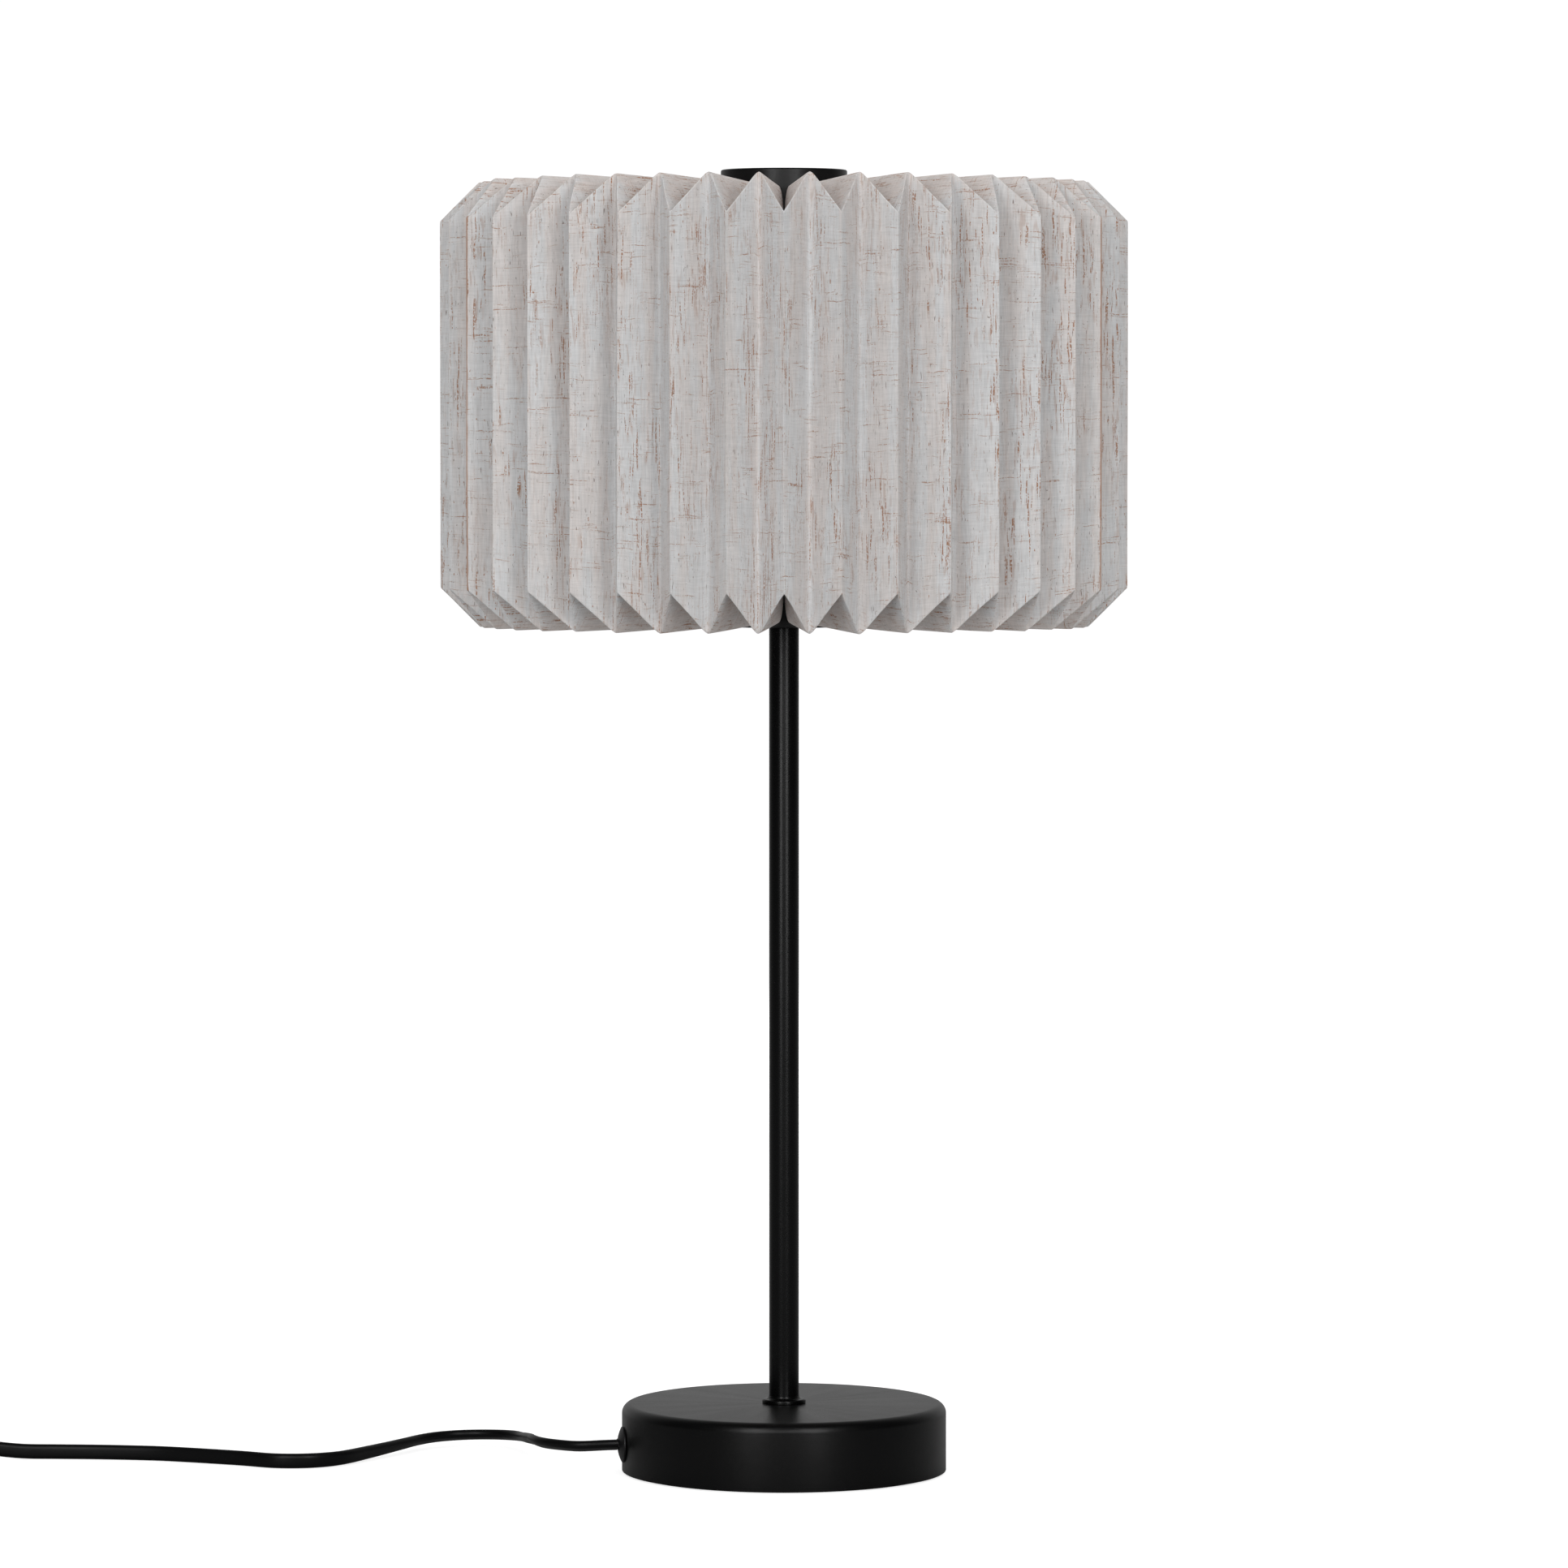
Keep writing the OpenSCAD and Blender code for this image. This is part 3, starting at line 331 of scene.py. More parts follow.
def shade_cloth(name):
    """Stiffened linen: warm and cool bands, brown threads both ways, dark slubs, and painted warm
    shade on the slopes.
    """
    shade = bpy.context.scene.lamp_shade
    cloth = Finish(name, roughness=0.88, sheen_weight=0.12, sheen_roughness=0.5,
                   specular_ior_level=0.25)
    x, y, _ = cloth.split(cloth.node("ShaderNodeUVMap", {"uv_map": "cloth"}))
    wobble = cloth.noise(cloth.combine(x / (5 * MM), y / (5 * MM), 0.7)) - 0.5
    across, along = x + wobble * (0.8 * MM), y + wobble * (1.6 * MM)

    def threads(width, length, seed, detail=1.0):
        """Noise whose blobs are this wide across the cloth and this long along it."""
        spot = cloth.combine(across / width, along / length, seed * 7.3)
        return cloth.noise(spot, detail=detail)

    def marks(width, length, seed, share, soft=0.025):
        """Marks that cover about this share of the cloth."""
        level = NOISE_SPREAD.inv_cdf(1 - share)
        return cloth.rise(threads(width, length, seed), level - soft, level + soft)

    # Plain cloth, warmer in bands, and warmer still on the two slopes, where the tint is painted
    # shade
    warp, weft = threads(0.6 * MM, 9 * MM, 1), threads(9 * MM, 0.6 * MM, 2)
    clouds = threads(5 * MM, 11 * MM, 3, detail=3.0)
    bands = cloth.rise(threads(7 * MM, 90 * MM, 4, detail=2.0), 0.4, 0.62)
    slope = shade.fold_radius - COLLAR_HIGH.x
    from_edge = along.math("PINGPONG", along, slope + wall_height(shade) / 2)
    # Painted warm shade over the two slopes, fading out before the shoulders
    slope_shade = 1 - cloth.rise(from_edge, slope - 22 * MM, slope - 8 * MM)
    warm = cloth.clamp(bands * 0.6 + (clouds - 0.5) * 0.5 + slope_shade * 0.8)
    grain = (warp - 0.5) * 0.34 + (weft - 0.5) * 0.22 + (clouds - 0.5) * 0.12 + 1.0
    plain = cloth.mix(warm, rgba(shade.thread), rgba(shade.tint))
    look = cloth.mix(1.0, plain, cloth.combine(grain, grain, grain), "MULTIPLY")

    # Brown threads and dark slubs, thicker in some places than in others, and thicker on the slopes
    # as part of their painted shade
    crowd = marks(12 * MM, 50 * MM, 5, 0.42, soft=0.08) * 0.8 + 0.2 + slope_shade * 0.3
    beads = cloth.rise(threads(0.7 * MM, 0.9 * MM, 6), 0.34, 0.56)
    smears = marks(1.6 * MM, 12 * MM, 7, 0.08, soft=0.06) * crowd
    brown = marks(0.65 * MM, 15 * MM, 8, 0.09, soft=0.02) * beads * crowd
    picks = marks(18 * MM, 0.55 * MM, 9, 0.065) * marks(16 * MM, 7 * MM, 10, 0.36, soft=0.06)
    picks = picks * beads
    slubs = marks(0.5 * MM, 4 * MM, 11, 0.008) + marks(0.8 * MM, 0.9 * MM, 12, 0.004)
    knots = marks(1 * MM, 3.5 * MM, 13, 0.01) * beads
    half_round = shade.pleats * strip_width(shade)
    front_half = shade.front_pleats * strip_width(shade)
    seam = abs(across.math("PINGPONG", across, half_round) - front_half)
    line = 1.0 - cloth.rise(seam, 0.3 * MM, 0.8 * MM)
    for mark, tone in (
        (smears * 0.3, shade.rust), (brown * 0.9, shade.rust), (picks * 0.75, shade.rust),
        (slubs * 0.7, shade.slub), (knots * 0.85, shade.rust), (line * 0.75, shade.rust),
    ):
        look = cloth.mix(mark, look, rgba(tone))
    cloth.set("Base Color", look)
    relief = warp * 0.5 + weft * 0.5 + slubs * 0.5 + picks * 0.4 + brown * 0.3
    cloth.bump(relief, 0.14 * MM, 0.7)
    return cloth.material


def painted(name, colour, roughness, grain, depth, cloud=0.06, gloss=0.2):
    """Black paint: its grain as bump, and soft clouds in its gloss."""
    paint = Finish(name, specular_ior_level=gloss)
    clouds, fine = paint.blobs(18 * MM, 3.0), paint.blobs(grain, 2.0)
    dust = paint.rise(paint.blobs(0.9 * MM, 1.0), 0.72, 0.78)
    paint.tones(dust * 0.25, colour, scaled(colour, 3))
    paint.set("Roughness", (clouds - 0.5) * 2 * cloud + (fine - 0.5) * 0.1 + roughness)
    paint.bump(fine, depth)
    return paint.material


def foot_paint(name):
    """Powder coat on the spun foot, with faint turning marks that fan out from the stem."""
    colour = bpy.context.scene.lamp_foot.paint
    paint = Finish(name, specular_ior_level=0.18)
    x, y, z = paint.split(paint.place)
    turn = x.math("ARCTAN2", y, x)
    radius = (x * x + y * y) ** 0.5
    fan = paint.noise(paint.combine(turn * 5, radius / (60 * MM), 1.0), detail=2.0)
    rings = paint.noise(paint.combine(radius / (0.35 * MM), turn * 0.4, 2.0), detail=2.0)
    fine = paint.blobs(0.45 * MM, 2.0)
    top = paint.rise(z, FOOT_HIGH.z - 2 * MM, FOOT_HIGH.z - 0.4 * MM)
    paint.tones(fan, colour, scaled(colour, 1.5))
    paint.set("Roughness", 0.31 + (fan - 0.5) * top * 0.08 + (rings - 0.5) * 0.05
              + (fine - 0.5) * 0.1)
    paint.bump(fine + rings * top * 0.3, 0.04 * MM)
    return paint.material


def stem_paint(name):
    colour = bpy.context.scene.lamp_foot.stem_paint
    return painted(name, colour, 0.28, 0.7 * MM, 0.004 * MM, cloud=0.02, gloss=0.18)


def collar_paint(name):
    colour = bpy.context.scene.lamp_foot.collar_paint
    return painted(name, colour, 0.34, 1.2 * MM, 0.03 * MM, cloud=0.2)


def moulded(name, colour, roughness, grain=0.25 * MM, depth=0.02 * MM):
    """Moulded plastic or rubber with a fine spark-eroded grain."""
    plastic = Finish(name, specular_ior_level=0.3)
    fine, broad = plastic.blobs(grain, 2.0), plastic.blobs(9 * MM, 2.0)
    plastic.tones(broad, colour, scaled(colour, 1.35))
    plastic.set("Roughness", roughness + (broad - 0.5) * 0.14 + (fine - 0.5) * 0.1)
    plastic.bump(fine, depth)
    return plastic.material


def sheath_black(name):
    """Soft smooth sheath with long shallow waves and a few scuffs."""
    colour = bpy.context.scene.lamp_cord.sheath
    sheath = Finish(name, specular_ior_level=0.12)
    waves = sheath.blobs(9 * MM, 2.0)
    scuffs = sheath.rise(sheath.blobs(1.3 * MM, 3.0), 0.62, 0.75)
    sheath.tones(scuffs * 0.3, colour, scaled(colour, 2))
    sheath.set("Roughness", 0.36 + (waves - 0.5) * 0.08 + scuffs * 0.08)
    sheath.bump(waves, 0.04 * MM)
    return sheath.material


def metal(name, colour, roughness, streak=0.3 * MM, relief=0.01 * MM):
    """Bare metal with fine turning or rolling marks and some tarnish."""
    bare = Finish(name, metallic=1.0)
    x, y, z = bare.split(bare.place)
    marks = bare.noise(bare.combine(x / (4 * MM), y / (4 * MM), z / streak), detail=2.0)
    tarnish = bare.blobs(6 * MM, 3.0)
    bare.tones(bare.rise(tarnish, 0.45, 0.75) * 0.6, colour, scaled(colour, 0.62))
    bare.set("Roughness", roughness + (marks - 0.5) * 0.2 + (tarnish - 0.5) * 0.15)
    bare.bump(marks, relief)
    return bare.material


def cast_weight(name):
    """Rough cast iron with patches of rust."""
    iron = Finish(name, metallic=0.7)
    rust = iron.rise(iron.blobs(9 * MM, 3.0), 0.55, 0.75)
    iron.tones(rust * 0.5, (0.13, 0.125, 0.12), (0.16, 0.08, 0.045))
    iron.set("Roughness", 0.62 + rust * 0.2)
    iron.bump(iron.blobs(1.6 * MM, 4.0, 0.65), 0.25 * MM)
    return iron.material


def foot_pad(name):
    """Closed-cell foam sheet."""
    foam = Finish(name, roughness=0.92, specular_ior_level=0.3)
    foam.tones(foam.blobs(7 * MM, 2.0), (0.016, 0.016, 0.017), (0.032, 0.032, 0.033))
    foam.bump(foam.node("ShaderNodeTexVoronoi", {}, {
        "Vector": foam.place, "Scale": 1 / (0.6 * MM)}), 0.12 * MM)
    return foam.material


def steatite(name):
    """Pale fired clay."""
    clay = Finish(name, roughness=0.55)
    clay.tones(clay.blobs(6 * MM, 2.0), (0.76, 0.73, 0.66), (0.66, 0.62, 0.54))
    clay.bump(clay.blobs(0.5 * MM, 3.0), 0.04 * MM)
    return clay.material


def bulb_glass(name):
    """Glass frosted inside, a little uneven in its coat."""
    glass = Finish(name, transmission_weight=0.25, coat_weight=0.6, coat_roughness=0.04)
    frost = glass.blobs(8 * MM, 3.0)
    glass.tones(frost, (0.95, 0.945, 0.92), (0.86, 0.85, 0.81))
    glass.set("Roughness", 0.18 + frost * 0.16)
    return glass.material


def core_insulation(name):
    """Brown on the live core, blue on the neutral one."""
    core = Finish(name)
    core.tones(core.split(core.place)[0] > 0, (0.03, 0.09, 0.35), (0.16, 0.055, 0.02))
    core.set("Roughness", 0.3 + core.blobs(0.8 * MM, 2.0) * 0.15)
    return core.material


def pin_nickel(name):
    """Nickel pins, each with a plastic sleeve next to the plug."""
    pin = Finish(name)
    x, y, z = pin.split(pin.place)
    sleeve = x < PLUG_HIGH.x + 9.5 * MM
    wear = pin.noise(pin.combine(x / (8 * MM), y / (0.4 * MM), z / (0.4 * MM)), detail=3.0)
    bright = pin.mix(wear, rgba((0.72, 0.7, 0.65)), rgba((0.55, 0.52, 0.46)))
    pin.set("Base Color", pin.mix(sleeve, bright, rgba((0.009, 0.009, 0.0095))))
    pin.set("Metallic", 1 - sleeve)
    pin.set("Roughness", 0.18 + wear * 0.2 + sleeve * 0.25)
    return pin.material


PLASTIC_BLACK = (0.009, 0.009, 0.0095)
GLOSS_BLACK = (0.008, 0.008, 0.0085)

FINISHES = {
    "foot_paint": foot_paint,
    "stem_paint": stem_paint,
    "collar_paint": collar_paint,
    "cast_weight": cast_weight,
    "plate_steel": lambda name: metal(name, (0.5, 0.5, 0.51), 0.42),
    "zinc_steel": lambda name: metal(name, (0.6, 0.61, 0.64), 0.32),
    "foot_pad": foot_pad,
    "thread_brass": lambda name: metal(name, (0.6, 0.47, 0.22), 0.36),
    "contact_brass": lambda name: metal(name, (0.7, 0.54, 0.24), 0.3),
    "gland_plastic": lambda name: moulded(name, (0.004, 0.004, 0.0043), 0.4),
    "holder_plastic": lambda name: moulded(name, PLASTIC_BLACK, 0.34),
    "steatite": steatite,
    "shade_cloth": shade_cloth,
    "bulb_glass": bulb_glass,
    "bulb_cap_metal": lambda name: metal(name, (0.72, 0.72, 0.73), 0.3),
    "bulb_base_glass": lambda name: moulded(name, (0.012, 0.012, 0.018), 0.12, 2 * MM),
    "solder": lambda name: metal(name, (0.55, 0.54, 0.52), 0.45, 1.2 * MM, 0.06 * MM),
    "cord_sheath": sheath_black,
    "core_insulation": core_insulation,
    "tie_rubber": lambda name: moulded(name, (0.02, 0.02, 0.021), 0.6, 0.5 * MM, 0.05 * MM),
    "switch_plastic": lambda name: moulded(name, PLASTIC_BLACK, 0.42, 0.3 * MM, 0.03 * MM),
    "rocker_plastic": lambda name: moulded(name, GLOSS_BLACK, 0.3, 0.6 * MM, 0.004 * MM),
    "plug_plastic": lambda name: moulded(name, GLOSS_BLACK, 0.38),
    "pin_nickel": pin_nickel,
}


def finish_of(slot):
    """The material of a slot, made the first time it is asked for."""
    name = "finish_" + slot
    return bpy.data.materials.get(name) or FINISHES[slot](name)


# Making of pieces

SLOT_OF = {part["node"]: part["material_slot"] for part in frame["record"]["subparts"]}
BODY_OF = {node: piece["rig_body"] for node, piece in frame["nodes"].items()}
# Faces that meet at more than this angle keep a sharp edge between them
SHARP = math.radians(38)
# Lays a lathe's axis along +X
LYING = Matrix.Rotation(math.radians(90), 4, "Y")


def seat(piece, *nodes):
    """Puts a finished piece in the place of the CAD nodes that it stands for."""
    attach(piece, BODY_OF[nodes[0]])
    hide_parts(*nodes)
    return piece


def add_piece(name, mesh, node):
    """A piece with the finish of a CAD node."""
    mesh.materials.clear()
    mesh.materials.append(finish_of(SLOT_OF[node]))
    piece = bpy.data.objects.new(name, mesh)
    bpy.context.scene.collection.objects.link(piece)
    return piece


def shell_of(name, node, points, faces):
    """A piece from points and faces, closed at its seams and poles, with its faces outwards."""
    mesh = bpy.data.meshes.new(name)
    mesh.from_pydata(points, [], faces)
    work = bmesh.new()
    work.from_mesh(mesh)
    bmesh.ops.remove_doubles(work, verts=work.verts, dist=1e-7)
    bmesh.ops.recalc_face_normals(work, faces=work.faces)
    work.to_mesh(mesh)
    work.free()
    mesh.shade_smooth()
    mesh.set_sharp_from_angle(angle=SHARP)
    return add_piece(name, mesh, node)


def around(radius, turn, z):
    return Vector((radius * math.cos(turn), radius * math.sin(turn), z))


def rounded(corners, steps=6):
    """A closed outline in which each corner (x, y, radius) becomes an arc."""
    outline = []
    for k, (x, y, radius) in enumerate(corners):
        corner = Vector((x, y))
        if radius == 0:
            outline.append(corner)
            continue
        back = (Vector(corners[k - 1][:2]) - corner).normalized()
        ahead = (Vector(corners[(k + 1) % len(corners)][:2]) - corner).normalized()
        half = back.angle(ahead) / 2
        centre = corner + (back + ahead).normalized() * radius / math.sin(half)
        start = corner + back * radius / math.tan(half) - centre
        end = corner + ahead * radius / math.tan(half) - centre
        for i in range(steps + 1):
            outline.append(centre + start.lerp(end, i / steps).normalized() * radius)
    return outline


def skin(rings, sides, closed=False):
    """Quads between rings of equally many points. Closed joins the last ring to the first."""
    faces = []
    for i in range(rings if closed else rings - 1):
        for k in range(sides):
            a, b = i * sides + k, i * sides + (k + 1) % sides
            c = (i + 1) % rings * sides
            faces.append((a, b, c + (k + 1) % sides, c + k))
    return faces


def capped(rings, sides):
    """Quads between rings, and one face over each end."""
    last = (rings - 1) * sides
    return [*skin(rings, sides), tuple(range(sides)), tuple(range(last, last + sides))]


def lathe(name, node, outline, place=Matrix.Identity(4), sides=128):
    """Turns a closed outline of (radius, height) about the Z axis of its place."""
    points = [place @ around(r, math.tau * k / sides, z) for k in range(sides) for r, z in outline]
    return seat(shell_of(name, node, points, skin(sides, len(outline), closed=True)), node)


def threaded(name, node, radius, depth, pitch, low, high, core, sides=96, rows=10):
    """A sleeve with a rounded outer thread between two heights, open through its core."""
    points, levels = [], round((high - low) / pitch * rows)
    for i in range(levels + 1):
        z = low + (high - low) * i / levels
        fade = min(1, (z - low) / pitch, (high - z) / pitch)
        for k in range(sides):
            turn = k / sides
            wave = 0.5 - 0.5 * math.cos(math.tau * ((z - low) / pitch - turn))
            r = radius - depth * (1 - wave * fade)
            points.append(around(r, math.tau * turn, z))
    points += [around(core, math.tau * k / sides, z) for z in (high, low) for k in range(sides)]
    return seat(shell_of(name, node, points, skin(levels + 3, sides, closed=True)), node)


def tube(name, route, outline, *nodes):
    """A tube along a route of (x, y, z, twist). At twist 0 the outline's first axis lies level."""
    points, places = [], [Vector(p[:3]) for p in route]
    for i, place in enumerate(places):
        ahead = (places[min(i + 1, len(places) - 1)] - places[max(i - 1, 0)]).normalized()
        across = Vector((0, 0, 1)).cross(ahead).normalized()
        rise = ahead.cross(across)
        cos, sin = math.cos(route[i][3]), math.sin(route[i][3])
        wide, thin = across * cos + rise * sin, rise * cos - across * sin
        points += [place + wide * x + thin * y for x, y in outline]
    faces = capped(len(places), len(outline))
    return seat(shell_of(name, nodes[0], points, faces), *nodes)


def smooth_route(points, steps):
    """A smooth curve through given points."""
    ends = [2 * points[0] - points[1], *points, 2 * points[-1] - points[-2]]
    route = []
    for a, b, c, d in zip(ends, ends[1:], ends[2:], ends[3:]):
        for k in range(steps):
            t = k / steps
            route.append(b + ((c - a) * t + (2 * a - 5 * b + 4 * c - d) * t ** 2
                              + (3 * b - a - 3 * c + d) * t ** 3) / 2)
    return [*route, points[-1]]


def applied(piece, modifier):
    """Keeps what a modifier makes of a piece as its plain mesh."""
    bpy.context.view_layer.update()
    shown = piece.evaluated_get(bpy.context.evaluated_depsgraph_get())
    result = bpy.data.meshes.new_from_object(shown)
    piece.modifiers.remove(modifier)
    piece.data = result
    return piece


def softened(name, node, width, crease=math.radians(30)):
    """A copy of a CAD node with its flat faces joined and its sharp edges rounded."""
    mesh = frame["nodes"][node].data.copy()
    work = bmesh.new()
    work.from_mesh(mesh)
    bmesh.ops.remove_doubles(work, verts=work.verts, dist=2e-6)
    bmesh.ops.dissolve_limit(work, angle_limit=math.radians(0.5), verts=work.verts,
                             edges=work.edges)
    sharp = [edge for edge in work.edges if len(edge.link_faces) == 2
             and edge.calc_face_angle() > crease]
    bmesh.ops.bevel(work, geom=sharp, offset=width, segments=2, profile=0.5,
                    affect="EDGES", clamp_overlap=True)
    work.to_mesh(mesh)
    work.free()
    mesh.shade_smooth()
    mesh.set_sharp_from_angle(angle=SHARP)
    piece = add_piece(name, mesh, node)
    flat = piece.modifiers.new("flat_faces", "WEIGHTED_NORMAL")
    flat.keep_sharp = True
    return seat(applied(piece, flat), node)


def grown(piece, tree, sizes):
    """Runs a geometry tree on a piece and keeps the result as its plain mesh."""
    modifier = piece.modifiers.new(tree.name, "NODES")
    modifier.node_group = tree
    sockets = {item.name: item.identifier for item in tree.interface.items_tree
               if item.item_type == "SOCKET" and item.in_out == "INPUT"}
    for title, value in sizes.items():
        modifier[sockets[title]] = value
    return applied(piece, modifier)


def new_tree(name, inputs):
    """An empty geometry tree, its graph, and its inputs as values by name."""
    tree = bpy.data.node_groups.new(name, "GeometryNodeTree")
    tree.interface.new_socket("Geometry", in_out="INPUT", socket_type="NodeSocketGeometry")
    for title, kind in inputs.items():
        tree.interface.new_socket(title, in_out="INPUT", socket_type="NodeSocket" + kind)
    tree.interface.new_socket("Geometry", in_out="OUTPUT", socket_type="NodeSocketGeometry")
    graph = Graph(tree)
    first = graph.node("NodeGroupInput")
    return tree, graph, {title: first.out(title) for title in ("Geometry", *inputs)}


def end_tree(graph, geometry, material):
    real = graph.node("GeometryNodeRealizeInstances", {}, {"Geometry": geometry})
    done = graph.node("GeometryNodeSetMaterial", {}, {"Geometry": real, "Material": material})
    output = graph.tree.nodes.new("NodeGroupOutput")
    graph.tree.links.new(done.socket, output.inputs["Geometry"])


def copied_round(piece, count, node):
    """Makes a piece into copies of itself, evenly spaced about the Z axis, for a CAD node."""
    tree, graph, given = new_tree("copies_round", {"Count": "Int", "Material": "Material"})
    points = graph.node("GeometryNodePoints", {}, {"Count": given["Count"]})
    turn = graph.node("GeometryNodeInputIndex") * math.tau / given["Count"]
    spin = graph.combine(0.0, 0.0, turn)
    copies = graph.node("GeometryNodeInstanceOnPoints", {}, {
        "Points": points, "Instance": given["Geometry"], "Rotation": spin})
    end_tree(graph, copies, given["Material"])
    grown(piece, tree, {"Count": count, "Material": finish_of(SLOT_OF[node])})
    return seat(piece, node)


# Cord

# Points of each stretch in millimetres, and the flat cord's twist there in degrees: 0 lies flat
# and 90 stands on edge
CORD_RUN = [
    (-79, -12.5, 12.9, 27), (-89.5, -12, 12.4, 27), (-98.5, -7.5, 12.4, 28), (-105.5, 0, 12.3, 30),
    (-109, 9.5, 12, 32), (-110.5, 22, 10.8, 32), (-112.5, 34, 9.5, 30), (-114, 46, 8.1, 28),
    (-115.5, 57.5, 6.7, 26), (-119, 67.5, 6.1, 25), (-126, 75.5, 5.5, 25), (-136, 79.5, 5.1, 25),
    (-146.5, 79.5, 4.8, 27), (-156, 75, 4.6, 30), (-163.5, 67.5, 4.3, 35), (-170, 56, 4.1, 42),
    (-177.5, 43.5, 3.8, 50), (-185, 31, 3.6, 62), (-192, 19.5, 3.5, 70), (-198.5, 12.5, 3.4, 76),
    (-207, 7.5, 3.4, 82), (-216, 6, 3.4, 87), (-225.5, 7.5, 3.4, 90), (-237, 14, 3.4, 90),
    (-249, 19.5, 3.4, 90), (-262, 25, 3.4, 90), (-276, 30, 3.4, 90), (-291, 33, 3.4, 90),
    (-306, 35, 3.4, 90), (-322, 36, 3.4, 90), (-337, 36, 3.6, 90), (-350, 36, 4.8, 90),
    (-361, 36, 6.4, 90), (-373, 36, 7.5, 90), (-383, 36, 7.5, 90),
]
CORD_LEAD = [
    (-435, 36, 7.5, 90), (-445, 36, 7.5, 90), (-455, 36, 6.5, 90), (-466, 36, 4.8, 90),
    (-477, 36, 4, 90), (-487, 36, 4, 90),
]
CORD_TAIL = [
    (-487, 118, 11.3, 90), (-482, 118, 11.3, 90), (-474, 118.2, 10.5, 90),
    (-465.5, 118.7, 8.2, 90), (-457, 119, 6.85, 90), (-449, 119, 6.85, 90), (-443, 119, 6.85, 90),
]
# Inside foot and stem: distance from the axis, height and twist. The stem's points stand a hair
# apart, so that the route has a side to it even where it goes straight up.
INNER_CORD = [
    (73.6, 13, -27), (64, 13, -27), (50, 11.6, -14), (35, 7.9, -5), (21, 5.4, 0), (13, 5, 0),
    (7, 5.8, 0), (2.6, 8.2, 0), (0.5, 11, 0), (0.0, 14.4, 0), (0.001, 30, 0), (0.002, 200, 0),
    (0.003, 370, 0), (0.004, 380, 0),
]
GLAND_TURN = math.radians(189)
GLAND_HEIGHT = 13 * MM
GLAND_FACE = 73.63 * MM
GLAND_TWIST = math.radians(27)
COIL_CENTRE = (-494 * MM, 77 * MM, 4 * MM)
COIL_TURNS = 5.5
# The coil climbs to its upper layer between these two turns
COIL_CLIMB = (2.5, 3.0)
COIL_START = math.radians(270)
COIL_STEPS = 72
ON_EDGE = math.radians(90)


def in_metres(points):
    return [Vector((x * MM, y * MM, z * MM, math.radians(twist))) for x, y, z, twist in points]


def oval(cord, steps=10):
    """Outline of the flat cord: two half rounds joined by flats."""
    r = cord.thickness / 2
    outline = []
    for side in (1, -1):
        for k in range(steps + 1):
            turn = math.pi * (k / steps - 0.5)
            reach = cord.width / 2 - r + r * math.cos(turn)
            outline.append((side * reach, side * r * math.sin(turn)))
    return outline


def coil_point(turns, cord):
    """A point of the coil: in on the lower layer, up as it reverses, and out on the upper one."""
    inward = min(turns, COIL_TURNS - turns)
    radius = cord.coil_radius - cord.coil_pitch * inward
    first, last = COIL_CLIMB
    climbed = min(max((turns - first) / (last - first), 0), 1)
    lift = cord.coil_lift * (1 - math.cos(math.pi * climbed)) / 2
    angle, (x, y, z) = COIL_START - math.tau * turns, COIL_CENTRE
    return Vector((x + radius * math.cos(angle), y + radius * math.sin(angle), z + lift, ON_EDGE))


class LAMP_OT_cord(bpy.types.Operator):
    """Lays the flat cord from the foot through the switch and the coil to the plug"""

    bl_idname = "lamp.cord"
    bl_label = "Cord"

    def execute(self, context):
        cord = context.scene.lamp_cord
        section = oval(cord)
        face = Vector((*around(GLAND_FACE, GLAND_TURN, GLAND_HEIGHT), GLAND_TWIST))
        run = smooth_route([face, *in_metres(CORD_RUN)], 4)
        coil = [coil_point(k / COIL_STEPS, cord) for k in range(round(COIL_TURNS * COIL_STEPS) + 1)]
        lead, tail = (smooth_route(in_metres(points), 4) for points in (CORD_LEAD, CORD_TAIL))
        spare = [*lead, *coil, *tail]
        front = tube("cord_to_switch", run, section, "cord_run")
        back = tube("cord_to_plug", spare, section, "cord_coil", "cord_lead", "cord_tail")
        front["route"] = [c for p in run for c in p[:3]]
        back["route"] = [c for p in spare for c in p[:3]]
        return {"FINISHED"}


# Foot and stem

